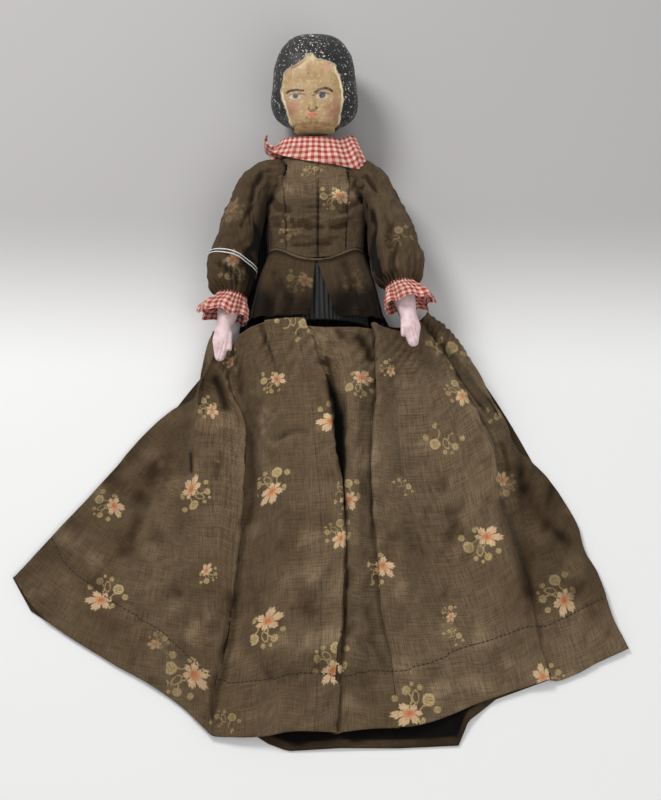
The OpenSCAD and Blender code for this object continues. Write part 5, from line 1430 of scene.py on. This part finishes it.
PLEATS, PLEAT_COLS, SILK_ROWS = 86, 10, 40
q = np.broadcast_to(np.linspace(0, 360, PLEATS * PLEAT_COLS + 1), (SILK_ROWS, PLEATS * PLEAT_COLS + 1))
v = np.linspace(0, 1, SILK_ROWS)[:, None]
y = mix(WAIST_Y - WAIST_DIP - 1.95, SKIRT_Y + CLOTH_GAP, v)
turn = np.radians(q) * PLEATS + 1.4 * cloud(q, v * 40, 30.0, 3) + 0.5 * v * cloud(q, v * 30, 9.0, 4)
pleat = 0.5 + 0.5 * np.sin(turn + 0.7 * np.cos(turn))
silk_off = CLOTH_GAP + 0.4 * smooth(2 * v) + CLOTH_T + 0.2 + 1.0 * pleat * (0.35 + 0.65 * v)
piece = cloth("hip_yoke", body_point(y, q, silk_off), SILK, "torso", depth=SILK_DEPTH, turn=True)
stands_for("hip_yoke")

# Black silk bunched beside the hips and under the arms, a dark sheet that paints the shadow between the
# sleeves and the body. Each side has its outer line and its inner line
SHADOW_SILK_PX = {
    "right": ([(258, 210, 9), (256, 235, 8), (254, 262, 6.4), (250, 288, 5), (244, 312, 4.4), (239, 334, 4)],
              [(267, 206, 12), (267, 235, 11.4), (268, 262, 11), (268, 288, 10.4), (268, 312, 10),
               (266, 336, 9)]),
    "left": ([(368, 205, 9), (369, 232, 8), (369, 260, 7), (374, 288, 6), (381, 310, 5), (390, 330, 4.4)],
             [(359, 203, 12), (359, 232, 11.4), (359, 260, 11), (361, 288, 10.4), (364, 312, 10),
              (368, 334, 9)]),
}
across = np.linspace(0, 1, 60)
for name, side_lines in SHADOW_SILK_PX.items():
    outer, inner = [along(from_photo_line(line), 90)[:, None] for line in side_lines]
    grid = mix(outer, inner, across[None, :, None])
    if name == "left":
        grid = grid[:, ::-1]
    u, v = cloth_uv(grid)
    folds = 0.9 * np.sin(across * 2 * math.pi * 4.5 + 0.8 * cloud(u * 2, v, 12.0, 87))
    grid = grid + normals_of(grid) * (folds + 0.5 * layered(u, v / 2, 7.0, 89, 3))[..., None]
    cloth("shadow_silk_side_" + name, grid, SILK, "torso", depth=SILK_DEPTH)

# Collar: a gingham strip, from columns of photo pixels with their heights, and angles behind the neck

COLLAR_PX = [
    [(280, 142, 22), (277, 145, 22), (274, 149, 21), (270, 151, 19.5)],
    [(284, 138.5, 26), (282, 143, 26.5), (279, 149, 26.5), (276, 153.5, 25.5)],
    [(295, 137, 30), (294, 143, 31), (291.5, 151, 31.5), (289, 157, 31)],
    [(306, 136.5, 32), (305.6, 143, 33.2), (304.4, 152, 33.8), (303, 159.5, 33.2)],
    [(317, 136.5, 32.5), (317, 143, 34), (317, 153, 34.8), (317, 162, 34)],
    [(328, 137, 32), (329, 144, 33.6), (330.6, 155, 34.4), (332, 164, 33.6)],
    [(337, 138.5, 30.5), (339, 146, 32.2), (342.4, 157, 33), (345, 166.5, 32)],
    [(344, 138, 28), (347, 146, 30), (352, 158, 31), (356, 168.5, 30)],
    [(350, 135.5, 25), (354, 144, 27.6), (359.6, 157, 29), (364, 169, 28)],
    [(356, 137, 23), (359.6, 145, 25), (365.4, 157, 27), (370, 168, 26)],
]
COLLAR_BACK_Q = (242, 228, 214, 200), (-14, -30, -46, -62)
COLLAR_W, COLLAR_ROWS, COLLAR_COLS = 15, 60, 420


def collar_back(q):
    side = abs(math.cos(math.radians(q))) ** 3
    v = np.array([0, 0.33, 0.67, 1.0])
    y = NECKLINE_Y + 2.8 - COLLAR_W * mix(1, 0.75, side) * v
    return body_point(y, q, BODICE_OFF + CLOTH_GAP + 1.6, 2.1 * side * v)


right_back, left_back = [[collar_back(q) for q in angles] for angles in COLLAR_BACK_Q]
columns = right_back + [from_photo_line(c) for c in COLLAR_PX] + left_back
columns = np.array([along(c, COLLAR_ROWS) for c in columns])
knots = knots_of(steps_of(columns).mean(1), 1.5)
collar_grid = glide(knots, columns, np.linspace(0, knots[-1], COLLAR_COLS)).transpose(1, 0, 2)
# The check runs along the strip: its threads follow the mean distance between the columns
u, v = cloth_uv(collar_grid)
u = np.broadcast_to(u.mean(0), v.shape)
waves = 0.45 * layered(u, v, 7.0, 3, 3) + 0.4 * np.sin(u * 0.55) * smooth(v / 14)
collar_grid = collar_grid + normals_of(collar_grid) * waves[..., None]
layers = {"weave": weave_layer(u, v)}
collar = cloth("collar", collar_grid, GINGHAM, "torso", layers, depth=GINGHAM_DEPTH)
stands_for("collar")

# The strip's end curls up beside the neck
CURL_PX = [(283, 153, 22.5), (276, 152.5, 20.5), (270, 151, 19), (266, 148, 19), (264.4, 144, 20),
           (265, 140.6, 21.5), (267, 139, 22)]
CURL_LEAN, CURL_ROWS, CURL_COLS = np.array([0.5, 1.6, 8.0]), 16, 60
curl = along(from_photo_line(CURL_PX), CURL_COLS)
lift = np.linspace(0, 1, CURL_ROWS)[:, None, None]
curl_grid = curl[None] + CURL_LEAN * (lift - 0.5) * np.linspace(1.35, 0.8, CURL_COLS)[None, :, None]
cloth("collar_end", curl_grid, GINGHAM, "torso", depth=GINGHAM_DEPTH)

# Sleeves: one grid from the armhole to the wrist, cut in two where the upper arm is straight

# Each row: distance down the arm and out from it on the body side, the same outside, half depth
SLEEVE_SHARES = np.array([
    [0.225, -0.465, -0.165, -0.03, 0.97],
    [0.290, -0.49, -0.120, 0.32, 1.00],
    [0.380, -0.51, 0.000, 0.64, 1.00],
    [0.470, -0.54, 0.175, 0.88, 0.98],
    [0.560, -0.59, 0.420, 1.05, 0.96],
    [0.665, -0.65, 0.655, 1.11, 0.95],
    [0.785, -0.67, 0.820, 1.10, 0.89],
    [0.880, -0.64, 0.925, 0.95, 0.78],
    [0.955, -0.595, 0.985, 0.66, 0.607],
    [1.000, -0.578, 1.000, 0.578, 0.578],
]) * [SLEEVE_L, SLEEVE_R, SLEEVE_L, SLEEVE_R, SLEEVE_R]
LEFT_INNER_SHARE, LEFT_OUTER_SHARE = 1.32, 0.93
# Each ring at the armhole: its size as a share, and how far it stands off the bodice
ARMHOLE_RINGS = ((1.05, 0.25), (1.0, 0.9), (0.97, 2.6))
ARMHOLE_R, ARMHOLE_FLAT = 13.4, 0.86
CUFF_SHOWN, CUFF_ROWS, CUFF_COLS, CUFF_FLAT_R, CUFF_FLAT_L = 11.6, 80, 360, 13.5, 14.5
SLEEVE_COLS, SLEEVE_ROWS, SLEEVE_CUT, ELBOW_BEND = 280, 240, 26, 18
SLEEVE_SPRIGS = {"right": [(236, 256, 222, 0.8, 0.05), (231, 204, 230, 0.68, 0.5)],
                 "left": [(398, 229, 80, 0.8, 1.2)]}
# Creases of the sleeves seen in the photograph
SLEEVE_CREASES = [
    ([(262, 172), (254, 186), (251, 204)], -1.6, 3),
    ([(252, 168), (243, 186), (238, 206)], 0.9, 4),
    ([(256, 204), (246, 214), (240, 230)], -1.0, 3),
    ([(254, 226), (244, 238), (232, 246)], 0.9, 4),
    ([(258, 244), (248, 252), (240, 268)], -1.1, 3.5),
    ([(216, 244), (226, 238), (236, 236)], -0.8, 3.5),
    ([(212, 262), (224, 266), (236, 276), (240, 288)], -0.9, 3.5),
    ([(228, 214), (228, 232), (222, 250)], 0.8, 4),
    ([(364, 174), (372, 186), (382, 200)], -1.6, 3),
    ([(360, 198), (370, 192), (384, 196), (394, 206)], 1.2, 3.5),
    ([(368, 202), (376, 226), (372, 256), (366, 276)], -1.4, 3),
    ([(380, 206), (390, 226), (388, 250)], -0.9, 4),
    ([(378, 232), (384, 256), (384, 278)], 1.1, 4),
    ([(396, 246), (392, 264), (394, 284)], -1.1, 3.5),
    ([(404, 222), (408, 246), (406, 268)], 0.8, 4),
    ([(366, 250), (376, 262), (384, 284)], -0.9, 3),
]
turn = np.linspace(0, 2 * math.pi, SLEEVE_COLS)


def bodice_side(side, y, z, off):
    """The place on the bodice's side at y and z."""
    zm = station(y, 4)
    b = np.where(z > zm, station(y, 2), station(y, 3)) + BODICE_OFF + off
    s = np.clip(np.abs(z - zm) / b, 0, 0.985) ** (1 / BODY_ROUND)
    return np.stack([side * (station(y, 1) + BODICE_OFF + off) * (1 - s**2) ** (BODY_ROUND / 2), y, z], -1)


def sleeve_grid(side):
    """The smooth sleeve, and its rows' places along it."""
    rings = []
    for size, off in ARMHOLE_RINGS:
        y = ARMHOLE_Y + ARMHOLE_R * size * np.cos(turn)
        rings.append(bodice_side(side, y, TORSO_Z + ARMHOLE_R * ARMHOLE_FLAT * size * np.sin(turn), off))
    for s0, w0, s1, w1, depth in SLEEVE_SHARES:
        if side > 0 and s1 < SLEEVE_L * 0.95:
            w0, w1 = w0 * LEFT_INNER_SHARE, w1 * LEFT_OUTER_SHARE
        x = side * ((w0 + w1) / 2 + (w1 - w0) / 2 * np.cos(turn))
        down = (s0 + s1) / 2 + (s1 - s0) / 2 * np.cos(turn)
        rings.append(arm_place(side, x, -down, depth * np.sin(turn)))
    knots = knots_of(steps_of(np.array(rings)).mean(1), 0.8)
    at = np.linspace(0, knots[-1], SLEEVE_ROWS)
    return glide(knots, rings, at), at


def sleeve_folds(side, grid, v, left):
    """Height of a sleeve's folds, where v and left are the cloth's lengths to its two ends."""
    angle = np.broadcast_to(turn, v.shape)
    drift = 1.1 * cloud(angle * 12, v, 14.0, 5 + side) + 0.5 * cloud(angle * 12, v, 5.0, 8 + side)
    uneven = 0.55 + 0.6 * cloud(angle * 9, v / 3, 6.0, 35 + side)
    head_folds = np.sin(17 * angle + drift * 1.6) * np.exp(-v / 11) * smooth(v / 3) * 1.0 * uneven
    cuff_folds = np.sin(21 * angle + drift * 1.8) * np.exp(-left / 11) * smooth(left / 2.5) * 1.1 * uneven
    long_folds = 1.5 * layered(angle * 10, v / 3.0, 13.0, 61 + side, 3) * smooth(v / 12) * smooth(left / 12)
    cross_folds = 1.1 * layered(angle * 7 + v * 0.35, v, 10.0, 71 + side, 4)
    cross_folds = cross_folds * smooth(v / 15) * smooth(left / 15)
    sharp = ridges(angle * 9 - v * 0.3, v / 1.5, 12.0, 81 + side)
    seen = smooth(2 * np.sin(angle) + 0.3)
    drawn = photo_creases(grid, SLEEVE_CREASES) * seen * smooth(v / 6) * smooth(left / 4)
    grow = head_folds + cuff_folds + long_folds + 1.25 * cross_folds
    grow = grow + 0.7 * sharp * smooth(left / 9) + 1.4 * drawn
    grow = np.where(grow < -0.9, -0.9 + 0.3 * (grow + 0.9), grow)
    # The side towards the body stays flatter
    grow = np.where(grow > 0, grow * (1 - 0.55 * smooth(-1.5 * np.cos(angle))), grow)
    grow[:, -1] = grow[:, 0]
    return grow


def cuff_of(name, side):
    """A gingham ruffle round the wrist."""
    v = np.linspace(0, 1, CUFF_ROWS)[:, None]
    q = np.linspace(0, 2 * math.pi, CUFF_COLS)[None]
    spread = smooth(v * 1.3)
    wave = np.cos(q * 7 + 0.9 * np.sin(q * 2 + side)) + 0.5 * np.cos(q * 11 + 2 + side)
    crumple = layered(q * 11 + 40 * (q > math.pi), v * 12, 4.0, 91 + side, 3) * np.sin(q / 2) ** 0.5
    r = mix(WRIST_R, CUFF_R - 0.6, spread) + 1.3 * v * wave
    r = r + 0.35 * (1 - v) * np.sin(q * 34) + 0.7 * v * crumple
    hem_wave = np.sin(q * 7 + 0.9 * np.sin(q * 2 + side) + 0.6)
    down = SLEEVE_L - 0.9 + CUFF_SHOWN * v * (1 + 0.1 * hem_wave)
    x = side * (2.2 * spread + r * np.cos(q))
    grid = arm_place(side, x, -down, r * mix(1, 0.74, spread) * np.sin(q))
    grid[:, -1] = grid[:, 0]
    layers = {"weave": weave_layer(q * CUFF_FLAT_R, v * CUFF_FLAT_L)}
    cuff = cloth("cuff_" + name, grid, GINGHAM, "forearm_" + name, layers, turn=side > 0,
                 depth=GINGHAM_DEPTH)
    stands_for("cuff_" + name)


sleeve_points = {}
for name, side in (("right", -1), ("left", 1)):
    grid, at = sleeve_grid(side)
    down = -arm_local(side, grid.reshape(-1, 3))[:, 1].reshape(grid.shape[:2])
    u, v = cloth_uv(grid)
    left = v[-1:] - v
    grow = sleeve_folds(side, grid, v, left)
    n = normals_of(grid) * side
    outward = np.sign(np.sum(n * (grid - grid.mean(1, keepdims=True)), -1).mean())
    grid = grid + n * outward * grow[..., None]
    grid[:, -1] = grid[:, 0]
    sleeve_points[name] = arm_local(side, grid.reshape(-1, 3))
    # Painted shade at the armhole seam, in the folds' valleys and near the cuff, over the whole sleeve and a
    # little more on the right one, and more on the side towards the body
    shade = 0.55 * np.exp(-v / 1.5) + 0.42 * smooth(-grow / 1.5) + 0.2 * np.exp(-left / 3)
    shade = shade + 0.43 - 0.04 * side
    shade += 0.3 * smooth(-np.cos(turn) * 2 - 0.8) * smooth(v / 14)
    layers = {"sprig": sprig_layer(grid, SLEEVE_SPRIGS[name]), "shade": np.clip(shade, 0, 0.92),
              "weave": weave_layer(u, v)}
    cut = int(np.searchsorted(down.mean(1), SLEEVE_CUT))
    upper = smooth(at / at[cut - 12])[:, None] * np.ones(SLEEVE_COLS)
    lower = smooth((down - UPPER_ARM_L + ELBOW_BEND / 2) / ELBOW_BEND)
    lower[cut] = 0
    arm = "upper_arm_" + name
    for label, rows, bodies, weights in (("_upper", slice(0, cut + 1), ("torso", arm), upper),
                                         ("_lower", slice(cut, None), (arm, "forearm_" + name), lower)):
        piece = cloth("sleeve_" + name + label, grid[rows], COTTON, (*bodies, weights[rows]),
                      {key: values[rows] for key, values in layers.items()}, turn=side > 0)
        stands_for("sleeve_" + name)
    cuff_of(name, side)

# Skirt back: flat on the table, from the same lines as the CAD solid

# Each row: a hem point's x and distance down as shares, its share across the top, and its fold's height
BACK_SHARES = np.array([
    [-1.000, 0.608, -1.00, 0.00], [-0.935, 0.690, -0.97, 0.00], [-0.783, 0.763, -0.90, 0.60],
    [-0.600, 0.838, -0.80, 0.00], [-0.453, 0.890, -0.66, 0.00], [-0.330, 0.945, -0.50, 1.00],
    [-0.152, 1.003, -0.30, 0.00], [-0.080, 1.012, -0.20, 0.00], [0.080, 1.000, 0.00, 0.30],
    [0.270, 1.000, 0.22, 0.00], [0.460, 1.000, 0.44, 0.00], [0.490, 0.960, 0.52, 1.00],
    [0.584, 0.905, 0.62, 0.00], [0.752, 0.860, 0.80, 0.00], [0.890, 0.826, 0.92, 0.60],
    [1.010, 0.786, 1.00, 0.00],
])
# How far the hem shows below the fronts, by its x
BACK_SHOW_SHARES = np.array([[-0.2, 0], [-0.1, 0.7], [0.08, 1], [0.27, 1], [0.46, 0.7], [0.5, 0]])
HEM_W, SKIRT_L, BACK_HEM_SHOW, BACK_FOLD_H = 296.0, 204.5, 4.3, 1.4
YOKE_GROWTH = 4.02
BACK_ROWS, BACK_SKIRT_COLS = 150, 420
# Two guide points of each outer edge
EDGE_LEFT_SHARES = ((-0.419, -0.01), (-0.486, 0.30))
EDGE_RIGHT_SHARES = ((0.419, -0.148), (0.620, 0.096))


def skirt_place(across, down):
    return across * HEM_W / 2, SKIRT_Y - down * SKIRT_L


def back_grid():
    u = np.linspace(0, 1, BACK_SKIRT_COLS) * (len(BACK_SHARES) - 1)
    v = (np.linspace(0, 1, BACK_ROWS) ** 1.15)[:, None]
    across, down, t, fold = [np.interp(u, np.arange(len(BACK_SHARES)), c)[None] for c in BACK_SHARES.T]
    near = np.abs(across) ** 3.5
    hem, top = skirt_place(across, down), (t * (HIPS_W / 2 + YOKE_GROWTH), SKIRT_Y + 0 * t)
    guides = [(skirt_place(*a), skirt_place(*b)) for a, b in zip(EDGE_RIGHT_SHARES, EDGE_LEFT_SHARES)]
    axes = []
    for k in (0, 1):
        e = [np.where(across > 0, right[k], left[k]) for right, left in guides]
        a = mix(mix(top[k], hem[k], 1 / 3), e[0], near)
        b = mix(mix(top[k], hem[k], 2 / 3), e[1], near)
        r = 1 - v
        axes.append(r**3 * top[k] + 3 * r * r * v * a + 3 * r * v * v * b + v**3 * hem[k])
    x, y = axes
    show = BACK_HEM_SHOW * np.interp(across, *BACK_SHOW_SHARES.T) * smooth((v - 0.7) / 0.3)
    hip = TORSO_Z - CLOTH_T - CLOTH_GAP - (12 + YOKE_GROWTH - CLOTH_T) * np.sqrt(np.maximum(0, 1 - t**4))
    rise = mix(0.08, 0.16, np.abs(t) ** 10)
    seen = 0.25 + 0.75 * smooth((across + 0.3) / 0.1) * smooth((0.56 - across) / 0.06)
    z = mix(hip, BACK_FOLD_H * seen * fold * smooth(v / 0.5), smooth(v / rise)) + 0.4
    return np.stack([x, y - show, z + 0 * x], -1)


back = back_grid()
u, v = cloth_uv(back)
back[..., 2] += 0.2 * np.maximum(0, layered(u, v / 3, 14.0, 44, 3)) * smooth(v / 30)
# Painted shade over the back, deepest on its lowest part under the front hem, with a lighter strip left at
# its own edge
past_hem = smooth((v[-1:] - v - 3.2 + 1.2 * cloud(u, v, 9.0, 97)) / 1.6) * smooth((v / v[-1:] - 0.8) / 0.1)
layers = {"sprig": sprig_scatter(back[..., 0], back[..., 1], 21), "shade": 0.12 + 0.8 * past_hem}
piece = cloth("skirt_back", back, [COTTON, LINING], "torso", layers, turn=True)
stands_for("skirt_back")

# String of a tag: two turns round the right sleeve

STRING_R, STRING_LIFT = 0.3, 0.15
STRING_SHARE, STRING_SLANT, LAP_PITCH = 0.70, 1.6, 1.5
STRING_X, STRING_SQUASH = 3.1, 0.97
string_q = np.linspace(-0.75, 2 * 2 * math.pi - 1.5, 72)
lap = (string_q - string_q[0]) / (2 * math.pi)
string_down = SLEEVE_L * STRING_SHARE - STRING_SLANT * np.cos(string_q) + LAP_PITCH * lap
# The string's radius at each place is that of the sleeve below it
sleeve_x, sleeve_y, sleeve_z = sleeve_points["right"].T
sleeve_q = np.arctan2(sleeve_z / STRING_SQUASH, -sleeve_x - STRING_X)
sleeve_r = np.hypot(sleeve_z / STRING_SQUASH, -sleeve_x - STRING_X)
string_r = []
for down, q in zip(string_down, string_q):
    apart = np.hypot(-sleeve_y - down, 15 * ((sleeve_q - q + math.pi) % (2 * math.pi) - math.pi))
    string_r.append(sleeve_r[apart < 1.6].max() + STRING_R + STRING_LIFT)
string_r = np.convolve(np.pad(string_r, 2, "edge"), [0.1, 0.2, 0.4, 0.2, 0.1], "valid")
path = arm_place(-1, -(STRING_X + string_r * np.cos(string_q)), -string_down,
                 STRING_SQUASH * string_r * np.sin(string_q))
string_path = along(path, 150)
points, faces = tube(string_path, STRING_R, 8)
string = make("tag_string_turns", points, faces, STRING)
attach(string, "upper_arm_right")
stands_for("tag_string")

# Floor and light: the photograph's grey-white paper, with painted shade making it darker towards the head

BACKDROP = linear(234, 234, 233)
FLOOR_HALF = 3000


def show_backdrop(net, share=None):
    """Rays from the camera, also by way of metal or glass, see an even pale backdrop."""
    rays = net.tree.nodes.new("ShaderNodeLightPath").outputs
    seen = rays["Is Camera Ray"]
    for name in ("Is Glossy Ray", "Is Transmission Ray"):
        seen = net.math("MAXIMUM", seen, rays[name])
    if share is not None:
        seen = net.times(seen, share)
    output = next(n for n in net.tree.nodes if n.type.startswith("OUTPUT")).inputs["Surface"]
    net.put(output, net.node("MixShader", seen, net.shader.outputs[0], net.node("Emission", Color=BACKDROP)))


floor_net = Net("floor")
where = floor_net.place()
floor_y = floor_net.node("SeparateXYZ", where, out=1)
# Painted shade: the paper darkens towards the head
paper = floor_net.tint(linear(232, 232, 232), (176, 174, 173), floor_y, 0.0, 0.1)
floor_material = floor_net.finish(paper, 0.9, Specular_IOR_Level=0.1)
show_backdrop(floor_net, floor_net.step(floor_net.vector("LENGTH", where), 0.3, 0.55))
floor_points = [[x * FLOOR_HALF, y * FLOOR_HALF, 0] for x, y in ((-1, -1), (1, -1), (1, 1), (-1, 1))]
floor = make("floor", floor_points, [[0, 1, 2, 3]], floor_material)

world_net = Net("world", bpy.data.worlds)
world_net.shader.inputs["Color"].default_value = (1.0, 0.99, 0.98, 1.0)
world_net.shader.inputs["Strength"].default_value = 0.45
show_backdrop(world_net)
scene.world = world_net.owner

LIGHT_AIM = np.array([0.0, -40.0, 0.0])


def area_light(name, at, size, power):
    data = bpy.data.lights.new(name, "AREA")
    data.shape = "DISK"
    data.size = size * MM
    data.energy = power
    light = bpy.data.objects.new(name, data)
    light.location = np.array(at) * MM
    ahead = LIGHT_AIM - at
    side = math.atan2(ahead[1], ahead[0])
    tilt = math.atan2(math.hypot(ahead[0], ahead[1]), -ahead[2])
    light.rotation_euler = (tilt, 0, side - math.pi / 2)
    scene.collection.objects.link(light)
    return light


key = area_light("key", (-520, 620, 800), 420, 8.5)
fill = area_light("fill", (450, -700, 1000), 900, 5.0)
